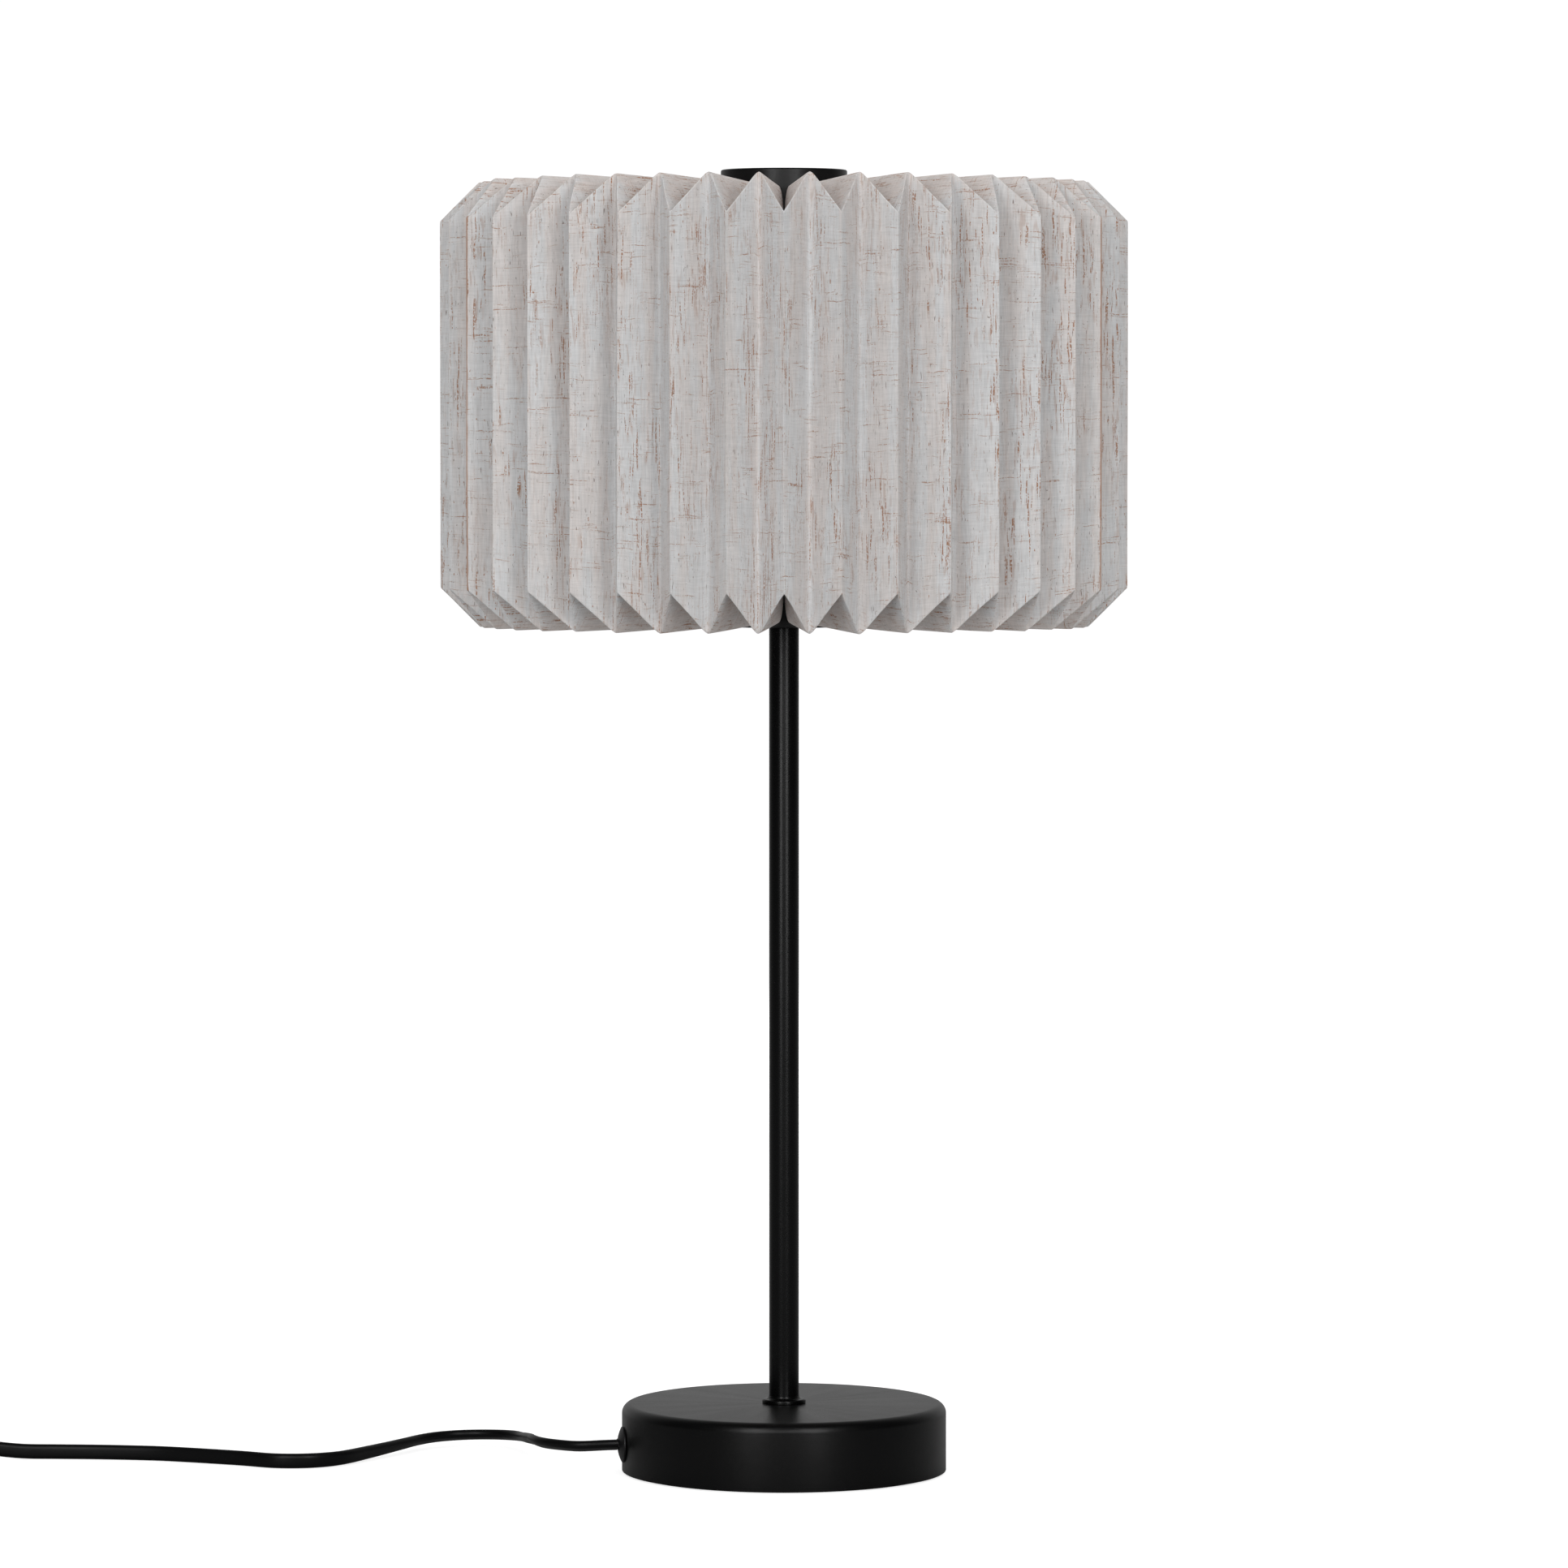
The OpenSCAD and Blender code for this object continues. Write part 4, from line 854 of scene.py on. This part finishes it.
class LAMP_OT_foot(bpy.types.Operator):
    """Spins the foot and its collar, and moulds the cord gland"""

    bl_idname = "lamp.foot"
    bl_label = "Foot"

    def execute(self, context):
        foot = context.scene.lamp_foot
        low, top, r = FOOT_LOW.z, FOOT_HIGH.z, FOOT_HIGH.x
        lip_top, lip, hole = low + 0.9 * MM, 1.4 * MM, 5.1 * MM
        inner, under = r - foot.wall, top - foot.wall
        lathe("foot_shell", "base_shell", rounded([
            (r, low, 0.3 * MM), (r, top, foot.edge), (hole, top, 0), (hole, under, 0),
            (inner, under, foot.edge - foot.wall), (inner, lip_top, 0),
            (inner - lip, lip_top, 0), (inner - lip, low, 0.2 * MM),
        ], steps=8), sides=256)
        low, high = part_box("foot_collar")
        bore, r, rim = STEM_HIGH.x + 0.1 * MM, high.x, low.z + 1.75 * MM
        lathe("stem_collar", "foot_collar", rounded([
            (bore, low.z, 0), (r, low.z, 0.25 * MM), (r, rim, 0.7 * MM),
            (bore + 0.5 * MM, rim + 0.25 * MM, 1.1 * MM), (bore + 0.1 * MM, high.z, 0.05 * MM),
            (bore, high.z, 0),
        ]))
        self.gland()
        return {"FINISHED"}

    def gland(self):
        """Domed gland where the cord leaves the foot."""
        seat_at, rim, dome, r = FOOT_HIGH.x + 0.03 * MM, 0.6 * MM, 2 * MM, 7.8 * MM
        neck, inside, steps = 4.8 * MM, seat_at - 4 * MM, 12
        ball = (r * r + dome * dome) / (2 * dome)
        centre = seat_at + rim + dome - ball
        wide = math.asin(r / ball)
        arc = [(ball * math.sin(wide * k / steps), centre + ball * math.cos(wide * k / steps))
               for k in range(steps, -1, -1)]
        outline = [(0, inside), (neck, inside), (neck, seat_at), (r, seat_at), *arc]
        place = Matrix.Rotation(GLAND_TURN, 4, "Z") @ Matrix.Translation((0, 0, GLAND_HEIGHT))
        lathe("gland", "cord_gland", outline, place @ LYING, 64)


class LAMP_OT_stem(bpy.types.Operator):
    """Draws the stem and its ferrule"""

    bl_idname = "lamp.stem"
    bl_label = "Stem"

    def execute(self, context):
        r, low, top, bore = STEM_HIGH.x, STEM_LOW.z, STEM_HIGH.z, 5 * MM
        lathe("stem", "stem_tube", rounded([
            (bore, low, 0), (r, low, 0.2 * MM), (r, top, 0.7 * MM), (bore, top, 0),
        ]))
        r -= 0.6 * MM
        lathe("ferrule", "stem_ferrule", rounded([
            (bore, top, 0), (r, top, 0), (r, FERRULE_TOP - 1 * MM, 0.3 * MM),
            (r - 0.5 * MM, FERRULE_TOP, 0.15 * MM), (bore, FERRULE_TOP, 0),
        ]))
        return {"FINISHED"}


class LAMP_OT_inside(bpy.types.Operator):
    """Threads the cord through foot and stem, and finishes the hidden pieces"""

    bl_idname = "lamp.inside"
    bl_label = "Inside of the foot and stem"

    def execute(self, context):
        route = [Vector((*around(r * MM, GLAND_TURN, z * MM), math.radians(-twist)))
                 for r, z, twist in INNER_CORD]
        section = oval(context.scene.lamp_cord)
        tube("cord_inside", smooth_route(route, 3), section, "cord_inner")
        for node, slot in SLOT_OF.items():
            for place in frame["nodes"][node].material_slots:
                place.material = finish_of(slot)
        return {"FINISHED"}


# Lampholder, bulb and collars

class LAMP_OT_lampholder(bpy.types.Operator):
    """Moulds the lampholder and the clamping ring"""

    bl_idname = "lamp.lampholder"
    bl_label = "Lampholder"

    def execute(self, context):
        low, high, r, wall, bore = CAP_LOW.z, CAP_HIGH.z, CAP_HIGH.x, 2 * MM, 5 * MM
        floor, rise = low + 5 * MM, high - low
        lathe("holder_top_cap", "holder_cap", rounded([
            (bore, low, 0), (8 * MM, low, 0.3 * MM), (9 * MM, low + 1.2 * MM, 0.5 * MM),
            (0.78 * r, low + 0.2 * rise, 2 * MM), (0.93 * r, low + 0.32 * rise, 2 * MM),
            (r, low + 0.5 * rise, 2 * MM), (r, high, 0.2 * MM), (r - wall, high, 0),
            (r - wall, low + 0.5 * rise, 1 * MM), (0.78 * r - wall, floor, 1 * MM),
            (bore, floor, 0),
        ]))
        low, high, r, web = SKIRT_LOW.z, SKIRT_HIGH.z, SKIRT_HIGH.x, 1.2 * MM
        shoulder, skirt, bore = low + 3 * MM, RING_HIGH.x - 6.25 * MM, 15.55 * MM
        lathe("holder_shoulder", "holder_body", rounded([
            (bore - 2 * MM, low, 0), (r, low, 0.3 * MM), (r, shoulder, 0.4 * MM),
            (bore, shoulder, 0), (bore, low + web, 0), (bore - 2 * MM, low + web, 0),
        ]))
        threaded("holder_skirt", "holder_body", skirt, 0.7 * MM, 2.3 * MM, shoulder, high, bore)
        self.clamping_ring(skirt + 0.1 * MM)
        return {"FINISHED"}

    def clamping_ring(self, bore):
        """Flanged ring with grip ribs round its barrel."""
        low, high, r = RING_LOW.z, RING_HIGH.z, RING_HIGH.x
        barrel, flange = r - 3.25 * MM, low + 2 * MM
        lathe("clamp_ring_body", "shade_ring", rounded([
            (bore, low, 0.2 * MM), (r, low, 0.4 * MM), (r, flange, 0.5 * MM),
            (barrel, flange, 0.4 * MM), (barrel, high, 0.5 * MM), (bore, high, 0.3 * MM),
        ]))
        outline = rounded([
            (-0.8 * MM, -0.8 * MM, 0.1 * MM), (0.8 * MM, -0.8 * MM, 0.1 * MM),
            (0.55 * MM, 0.8 * MM, 0.4 * MM), (-0.55 * MM, 0.8 * MM, 0.4 * MM),
        ], steps=3)
        points = [(barrel + y, x, z) for z in (low + 1.5 * MM, high - 1.2 * MM) for x, y in outline]
        rib = shell_of("clamp_ring_ribs", "shade_ring", points, capped(2, len(outline)))
        copied_round(rib, 24, "shade_ring")


class LAMP_OT_bulb(bpy.types.Operator):
    """Blows the globe and rolls the bulb's screw cap"""

    bl_idname = "lamp.bulb"
    bl_label = "Bulb"

    def execute(self, context):
        self.globe()
        low, high, r = BULB_CAP_LOW.z, BULB_CAP_HIGH.z, BULB_CAP_HIGH.x
        cone, band, root = low + 3 * MM, high - 3.5 * MM, r - 0.8 * MM
        lathe("cap_cone", "bulb_cap", rounded([
            (0, low, 0), (r - 3 * MM, low, 0.4 * MM), (root, cone, 0.6 * MM), (0, cone, 0),
        ]))
        threaded("cap_thread", "bulb_cap", r, 0.8 * MM, 3.63 * MM, cone, band, r - 2 * MM)
        lathe("cap_band", "bulb_cap", rounded([
            (0, band, 0), (root, band, 0), (r, high - 2.6 * MM, 0.5 * MM), (r, high, 0.2 * MM),
            (0, high, 0),
        ]))
        return {"FINISHED"}

    def globe(self):
        """Round glass that narrows to the cap in one sweep."""
        r, low, neck_r = GLOBE_HIGH.x, GLOBE_LOW.z, BULB_CAP_HIGH.x - 0.1 * MM
        middle, first, last = GLOBE_HIGH.z - r, math.radians(-40), math.radians(90)
        arc_steps, neck_steps = 40, 14
        turns = [first + (last - first) * k / arc_steps for k in range(arc_steps + 1)]
        arc = [Vector((r * math.cos(t), middle + r * math.sin(t))) for t in turns]
        start, foot = arc[0], Vector((neck_r, low + 1 * MM))
        pull = (start.y - foot.y) / 2
        one = start + pull * Vector((math.sin(first), -math.cos(first)))
        two = foot + Vector((0, pull))
        neck = [start * (1 - t) ** 3 + one * 3 * t * (1 - t) ** 2 + two * 3 * t * t * (1 - t)
                + foot * t ** 3 for t in (k / neck_steps for k in range(neck_steps, 0, -1))]
        lathe("globe", "bulb_globe", [(0, low), (neck_r, low), *neck, *arc])


class LAMP_OT_collars(bpy.types.Operator):
    """Rolls the shade's two collars and bends the three arms of the lower one"""

    bl_idname = "lamp.collars"
    bl_label = "Collars"

    def execute(self, context):
        wall, r, rise = 1.2 * MM, COLLAR_HIGH.x, 10.8 * MM
        upper = self.beaded(COLLAR_LOW.z, COLLAR_HIGH.z, r, wall)
        lathe("upper_collar", "top_collar", upper, sides=192)
        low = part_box("low_collar")[0].z
        lower = [(x, 2 * low + rise - z) for x, z in self.beaded(low, low + rise, r, wall)]
        lathe("lower_collar", "low_collar", lower, sides=192)
        self.arms(low, r - wall, wall)
        return {"FINISHED"}

    def beaded(self, low, high, r, wall, bead=0.9 * MM, steps=14):
        """Outline of a collar with a rolled bead along its upper edge."""
        turns = [math.radians(-10 + 230 * k / steps) for k in range(steps + 1)]
        roll = [(r - bead + bead * math.cos(t), high - bead + bead * math.sin(t)) for t in turns]
        return [(r - wall, low), (r, low), *roll]

    def arms(self, low, inner, thick):
        """Hub and three arms that carry the shade on the lampholder's shoulder."""
        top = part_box("low_collar")[1].z
        hub, hub_r, hole_r, weld = top - thick, 24.25 * MM, 20.25 * MM, inner + thick / 4
        foot, bend, tongue = low + 3 * MM, hub - 5 * MM, hub_r - 1.5 * MM
        lathe("collar_hub", "low_collar", rounded([
            (hole_r, hub, 0.2 * MM), (hub_r, hub, 0.2 * MM), (hub_r, top, 0.3 * MM),
            (hole_r, top, 0.3 * MM),
        ]))
        side = rounded([
            (inner - thick, foot, 0.2 * MM), (weld, foot, 0), (weld, bend, 1.5 * MM),
            (hub_r, top, 1.2 * MM), (tongue, top, 0.2 * MM), (tongue, hub, 0.2 * MM),
            (inner - thick, bend, 0.8 * MM),
        ], steps=4)
        half, steps, points = math.radians(9), 8, []
        for k in range(steps + 1):
            turn = math.radians(90) + half * (2 * k / steps - 1)
            points += [around(r, turn, z) for r, z in side]
        arm = shell_of("collar_arms", "low_collar", points, capped(steps + 1, len(side)))
        copied_round(arm, 3, "low_collar")


# Shade

# Faces across a strip of cloth, and down each of its slope, wall and slope
STRIP_COLUMNS, STRIP_ROWS = 9, 7


def wall_height(shade):
    """Height of the shade's upright wall between its two slopes."""
    return SHADE_HIGH.z - SHADE_LOW.z - 2 * shade.shoulder


def strip_width(shade):
    """Width of the cloth between two folds."""
    valley, half_turn = shade.fold_radius - shade.depth, math.pi / shade.pleats
    return math.hypot(shade.fold_radius - valley * math.cos(half_turn),
                      valley * math.sin(half_turn))


def pleat_tree():
    """Pleated cloth. Rows run from the upper collar over the shoulder and wall to the lower one.

    Even folds are crisp mountains and odd folds are soft valleys. At the collars the two sides of
    each mountain are pinched together.
    """
    tree, graph, given = new_tree("pleated_cloth", {
        **dict.fromkeys(("First fold", "Strips", "Columns", "Rows"), "Int"),
        **dict.fromkeys((
            "Fold angle", "Fold radius", "Valley radius", "Seat radius", "Top", "Height",
            "Shoulder", "Ridge sink", "Seat fall", "Strip width", "Valley softness", "Pinch",
            "Unevenness"), "Float"),
        "Material": "Material",
    })
    grid = graph.node("GeometryNodeMeshGrid", {}, {
        "Size X": 1.0, "Size Y": 1.0, "Vertices X": given["Strips"] * given["Columns"] + 1,
        "Vertices Y": given["Rows"] * 3 + 1})
    x, y, _ = graph.split(graph.node("GeometryNodeInputPosition"))
    fold = (x + 0.5) * given["Strips"] + given["First fold"]
    row = (0.5 - y) * 3

    def ease(t):
        return t * t * (3 - 2 * t)

    def part(start):
        """0 to 1 along one third of the rows, with more rows near its ends."""
        return ease(ease(graph.clamp(row - start)))

    def between(a, b, amount):
        return a + (b - a) * amount

    # Where each point lies between the mountain and the valley beside it
    upper, wall, lower = part(0.0), part(1.0), part(2.0)
    out, ends = upper - lower, upper + lower
    share = fold.math("PINGPONG", fold, 1.0)
    from_fold = ease(share ** 1.3)
    soft = given["Valley softness"]
    past = from_fold.math("MAXIMUM", from_fold - (1 - soft), 0.0)
    depth = (from_fold - past * past / (soft * 2)) / (1 - soft / 2)
    mountain = (fold / 2).math("ROUND", fold / 2) * 2
    valley = (fold / 2).math("FLOOR", fold / 2) * 2 + 1

    # Radius and height of the mountains and of the valleys, row by row
    seat_r, sink, height = given["Seat radius"], given["Ridge sink"], given["Height"]
    mountain_reach, valley_reach = given["Fold radius"] - seat_r, given["Valley radius"] - seat_r
    fall, wall_fall = sink + given["Seat fall"], height - given["Shoulder"] * 2
    mountain_z = given["Top"] - fall + (fall - given["Shoulder"]) * ends - wall_fall * wall
    valley_z = given["Top"] - sink + sink * ends - height * wall
    pinch = given["Pinch"] * (1 - out) ** 2 + 1
    turn = between(mountain, valley, from_fold ** pinch) * given["Fold angle"]
    radius = between(seat_r + mountain_reach * out, seat_r + valley_reach * out, depth)
    spot = graph.combine(radius * turn.math("SINE", turn), 0 - radius * turn.math("COSINE", turn),
                         between(mountain_z, valley_z, depth))

    # The folds wander a little, away from the collars
    wander = graph.noise(graph.combine(fold * 0.7, ends * 1.3 + wall * 2, 4.0)).out("Color")
    drift = graph.node("ShaderNodeVectorMath", {"operation": "SUBTRACT"},
                       (wander, (0.5, 0.5, 0.5)))
    drift = graph.node("ShaderNodeVectorMath", {"operation": "SCALE"}, {
        0: drift, "Scale": given["Unevenness"] * 2 * (upper * (1 - lower))})

    # Each point keeps its place on the flat cloth, where the threads and slubs are drawn
    run = between(mountain_reach * ends + wall_fall * wall, valley_reach * ends + height * wall,
                  from_fold)
    flat = graph.combine(between(mountain, valley, from_fold) * given["Strip width"], run, 0.0)
    stored = graph.node("GeometryNodeStoreNamedAttribute", {
        "data_type": "FLOAT2", "domain": "CORNER"}, {
        "Geometry": grid, "Name": "cloth", STORED_VALUE: flat})
    shaped = graph.node("GeometryNodeSetPosition", {}, {
        "Geometry": stored, "Position": spot, "Offset": drift})
    smooth = graph.node("GeometryNodeSetShadeSmooth", {}, {
        "Geometry": shaped, "Shade Smooth": True})
    end_tree(graph, smooth, given["Material"])
    return tree


class LAMP_OT_shade(bpy.types.Operator):
    """Folds the front and back cloth of the shade"""

    bl_idname = "lamp.shade"
    bl_label = "Shade"

    def execute(self, context):
        shade = context.scene.lamp_shade
        tree = pleat_tree()
        seat_r = COLLAR_HIGH.x + shade.seat_gap
        width = strip_width(shade)
        half = seat_r * math.sin(math.pi / shade.pleats)
        front, back = shade.front_pleats, shade.pleats - shade.front_pleats
        for name, node, first, pleats in (
            ("front_cloth", "shade_front", -front, front),
            ("back_cloth", "shade_back", front, back),
        ):
            piece = add_piece(name, bpy.data.meshes.new(name), node)
            grown(piece, tree, {
                "First fold": first, "Strips": 2 * pleats, "Columns": STRIP_COLUMNS,
                "Rows": STRIP_ROWS, "Fold angle": math.pi / shade.pleats,
                "Fold radius": shade.fold_radius, "Valley radius": shade.fold_radius - shade.depth,
                "Seat radius": seat_r, "Top": SHADE_HIGH.z, "Height": SHADE_HIGH.z - SHADE_LOW.z,
                "Shoulder": shade.shoulder, "Ridge sink": shade.ridge_sink,
                "Seat fall": math.sqrt(width ** 2 - half ** 2), "Strip width": width,
                "Valley softness": shade.softness, "Pinch": shade.pinch,
                "Unevenness": shade.unevenness, "Material": finish_of("shade_cloth"),
            })
            thick = piece.modifiers.new("thickness", "SOLIDIFY")
            thick.thickness = shade.thickness
            thick.offset = -1
            soft = piece.modifiers.new("soft_folds", "SUBSURF")
            soft.levels = soft.render_levels = 1
            seat(piece, node)
        return {"FINISHED"}


# Switch and plug

class LAMP_OT_switch(bpy.types.Operator):
    """Dresses the in-line switch with rounded edges"""

    bl_idname = "lamp.switch"
    bl_label = "Switch"

    def execute(self, context):
        softened("switch_base", "switch_lower", 0.5 * MM)
        softened("switch_cover", "switch_upper", 0.45 * MM)
        softened("switch_button", "switch_rocker", 0.35 * MM, crease=math.radians(12))
        return {"FINISHED"}


class LAMP_OT_plug(bpy.types.Operator):
    """Moulds the plug with its ribbed sleeve, and the strap of the coil"""

    bl_idname = "lamp.plug"
    bl_label = "Plug and strap"

    def execute(self, context):
        self.sleeve()
        self.housing()
        softened("coil_strap", "coil_tie", 0.2 * MM)
        return {"FINISHED"}

    def sleeve(self):
        """Tapered strain relief with four grooves."""
        start, length = SLEEVE_LOW.x, SLEEVE_HIGH.x - SLEEVE_LOW.x
        thin, thick, grooves, cut, width = 4.4 * MM, 5.8 * MM, 4, 0.7 * MM, 0.8 * MM
        corners = [(0, 0, 0), (thin, 0, 0.8 * MM)]
        for k in range(1, grooves + 1):
            x = length * k / (grooves + 1)
            r = thin + (thick - thin) * k / (grooves + 1)
            corners += [(r, x - width, 0.25 * MM), (r - cut, x - width, 0.2 * MM),
                        (r - cut, x + width, 0.2 * MM), (r, x + width, 0.25 * MM)]
        corners += [(thick, length, 0), (0, length, 0)]
        place = Matrix.Translation((start, (SLEEVE_LOW.y + SLEEVE_HIGH.y) / 2, PLUG_HIGH.z / 2))
        lathe("plug_boot", "plug_sleeve", rounded(corners, 4), place @ LYING, 64)

    def housing(self):
        """Flat two-pin plug: oval sections that widen from the neck to the pins."""
        length, wide, thick = PLUG_HIGH.x - PLUG_LOW.x, PLUG_HIGH.y - PLUG_LOW.y, PLUG_HIGH.z
        # Share of the length, of the width and of the thickness
        stations = [
            (0, 0.3, 0.7), (0.015, 0.37, 0.84), (0.05, 0.43, 0.9), (0.14, 0.56, 0.9),
            (0.26, 0.76, 0.91), (0.36, 0.91, 0.94), (0.44, 0.975, 0.985), (0.52, 0.99, 1),
            (0.7, 0.995, 1), (0.955, 1, 1), (0.985, 0.99, 0.97), (1, 0.96, 0.9),
        ]
        middle, sides, squareness, points = (PLUG_LOW.y + PLUG_HIGH.y) / 2, 64, 0.42, []
        for share, w, t in stations:
            for k in range(sides):
                turn = math.tau * (k + 0.5) / sides
                cos, sin = math.cos(turn), math.sin(turn)
                y = math.copysign(abs(cos) ** squareness, cos) * w * wide / 2
                z = math.copysign(abs(sin) ** squareness, sin) * t * thick / 2
                points.append((PLUG_LOW.x + share * length, middle + y, thick / 2 + z))
        faces = capped(len(stations), sides)
        seat(shell_of("plug_housing", "plug_body", points, faces), "plug_body")


# Studio

# Where the lights point, and how far the floor runs to each side
AIM = Vector((0, 0, 0.3))
FLOOR_REACH = 14


def add_light(name, place, size, power):
    data = bpy.data.lights.new(name, "AREA")
    data.shape = "RECTANGLE"
    data.size, data.size_y = size
    data.energy = power
    light = bpy.data.objects.new(name, data)
    light.location = place
    light.rotation_euler = (AIM - place).to_track_quat("-Z", "Y").to_euler()
    bpy.context.scene.collection.objects.link(light)
    return light


class LAMP_OT_studio(bpy.types.Operator):
    """Sets up the camera, the pale floor, the lights and the white surroundings"""

    bl_idname = "lamp.studio"
    bl_label = "Studio"

    def execute(self, context):
        studio = context.scene.lamp_studio
        self.camera(context.scene, studio)
        self.floor()
        self.surroundings(context.scene, studio)
        key, strip = studio.key_power, studio.strip_power
        # Name, place, degrees it is turned by about the stem, size, power and the rays that miss it
        for name, place, turn, size, power, unseen in (
            ("front_panel", (0, -2.9, 0.95), 0, (2.2, 0.8), studio.front_power, "diffuse"),
            ("soft_box", (0, -2.7, 0.9), -20, (0.5, 1), key, "glossy"),
            ("strip_light", (0, -2.2, 1.1), -22.5, (0.36, 2.2), strip, "diffuse"),
            ("soft_box", (0, -2.7, 0.9), 20, (0.5, 1), key, "glossy"),
            ("strip_light", (0, -2.2, 1.1), 22.5, (0.36, 2.2), strip, "diffuse"),
            ("back_box", (0, 2.7, 0.9), 0, (1.8, 1), studio.back_power, "glossy"),
            ("top_light", (0, -0.5, 2.4), 0, (2.2, 2.2), studio.top_power, "glossy"),
        ):
            place = Matrix.Rotation(math.radians(turn), 3, "Z") @ Vector(place)
            setattr(add_light(name, place, size, power), "visible_" + unseen, False)
        context.scene.view_settings.view_transform = "Standard"
        return {"FINISHED"}

    def camera(self, scene, studio):
        data = bpy.data.cameras.new("camera")
        data.sensor_width = 36
        data.lens = studio.lens
        data.clip_start, data.clip_end = 0.1, 60
        camera = bpy.data.objects.new("camera", data)
        camera.location = (0, -studio.distance, studio.height)
        camera.rotation_euler = (math.radians(90) - studio.tilt, 0, 0)
        scene.collection.objects.link(camera)
        scene.camera = camera

    def floor(self):
        """Pale floor that keeps the lamp's shadow and is lost in the white behind it.

        It is darker where the black paint mirrors it than where it lights the lamp.
        """
        mesh = bpy.data.meshes.new("floor")
        corners = [(x * FLOOR_REACH, y * FLOOR_REACH, 0)
                   for x, y in ((-1, -1), (1, -1), (1, 1), (-1, 1))]
        mesh.from_pydata(corners, [], [(0, 1, 2, 3)])
        pale = Finish("studio_floor", roughness=1.0, specular_ior_level=0.0, emission_strength=1.0)
        ray = pale.node("ShaderNodeLightPath")
        pale.set("Base Color", pale.mix(ray.out("Is Glossy Ray"), grey(0.5), grey(0.35)))
        pale.set("Emission Color", pale.mix(ray.out("Is Camera Ray"), grey(0), grey(0.75)))
        mesh.materials.append(pale.material)
        floor = bpy.data.objects.new("floor", mesh)
        bpy.context.scene.collection.objects.link(floor)

    def surroundings(self, scene, studio):
        """White where they are seen, and soft where they light matt surfaces.

        Where they are mirrored they fall from bright behind the lamp to dark behind the camera.
        """
        world = bpy.data.worlds.new("studio")
        world.use_nodes = True
        world.node_tree.nodes.clear()
        graph = Graph(world.node_tree)
        ray = graph.node("ShaderNodeLightPath")
        glossy, clear = ray.out("Is Glossy Ray"), ray.out("Is Transmission Ray")
        _, back, _ = graph.split(graph.node("ShaderNodeTexCoord"))
        mirrored = (studio.dark_side
                    + graph.rise(back, 0.1, 0.9) * (studio.bright_side - studio.dark_side))
        lit = back * back * studio.panels + studio.ambient
        seen = ray.math("MAXIMUM", ray.out("Is Camera Ray"), clear)
        strength = seen.math("MAXIMUM", seen, mirrored * glossy + lit * (1 - glossy))
        sky = graph.node("ShaderNodeBackground", {}, {"Color": grey(1), "Strength": strength})
        output = graph.tree.nodes.new("ShaderNodeOutputWorld")
        graph.tree.links.new(sky.socket, output.inputs["Surface"])
        scene.world = world


class LAMP_PT_panel(bpy.types.Panel):
    """Lists the lamp's settings and makers"""

    bl_idname = "LAMP_PT_panel"
    bl_label = "Lamp"
    bl_space_type = "VIEW_3D"
    bl_region_type = "UI"
    bl_category = "Lamp"

    def draw(self, context):
        for title, settings in SETTINGS.items():
            box = self.layout.box()
            group = getattr(context.scene, title)
            for name in settings.__annotations__:
                box.prop(group, name)
        for maker in MAKERS:
            self.layout.operator(maker.bl_idname)


SETTINGS = {
    "lamp_shade": ShadeSettings,
    "lamp_foot": FootSettings,
    "lamp_cord": CordSettings,
    "lamp_studio": StudioSettings,
}
MAKERS = [
    LAMP_OT_studio, LAMP_OT_cord, LAMP_OT_foot, LAMP_OT_stem, LAMP_OT_inside, LAMP_OT_lampholder,
    LAMP_OT_bulb, LAMP_OT_collars, LAMP_OT_shade, LAMP_OT_switch, LAMP_OT_plug,
]


def register():
    for title, settings in SETTINGS.items():
        bpy.utils.register_class(settings)
        setattr(bpy.types.Scene, title, PointerProperty(type=settings))
    for maker in (*MAKERS, LAMP_PT_panel):
        bpy.utils.register_class(maker)


def unregister():
    for maker in (LAMP_PT_panel, *reversed(MAKERS)):
        bpy.utils.unregister_class(maker)
    for title, settings in SETTINGS.items():
        delattr(bpy.types.Scene, title)
        bpy.utils.unregister_class(settings)


def main():
    """Makes the lamp and its studio."""
    register()
    for maker in MAKERS:
        group, name = maker.bl_idname.split(".")
        getattr(getattr(bpy.ops, group), name)()


if __name__ == "__main__":
    main()
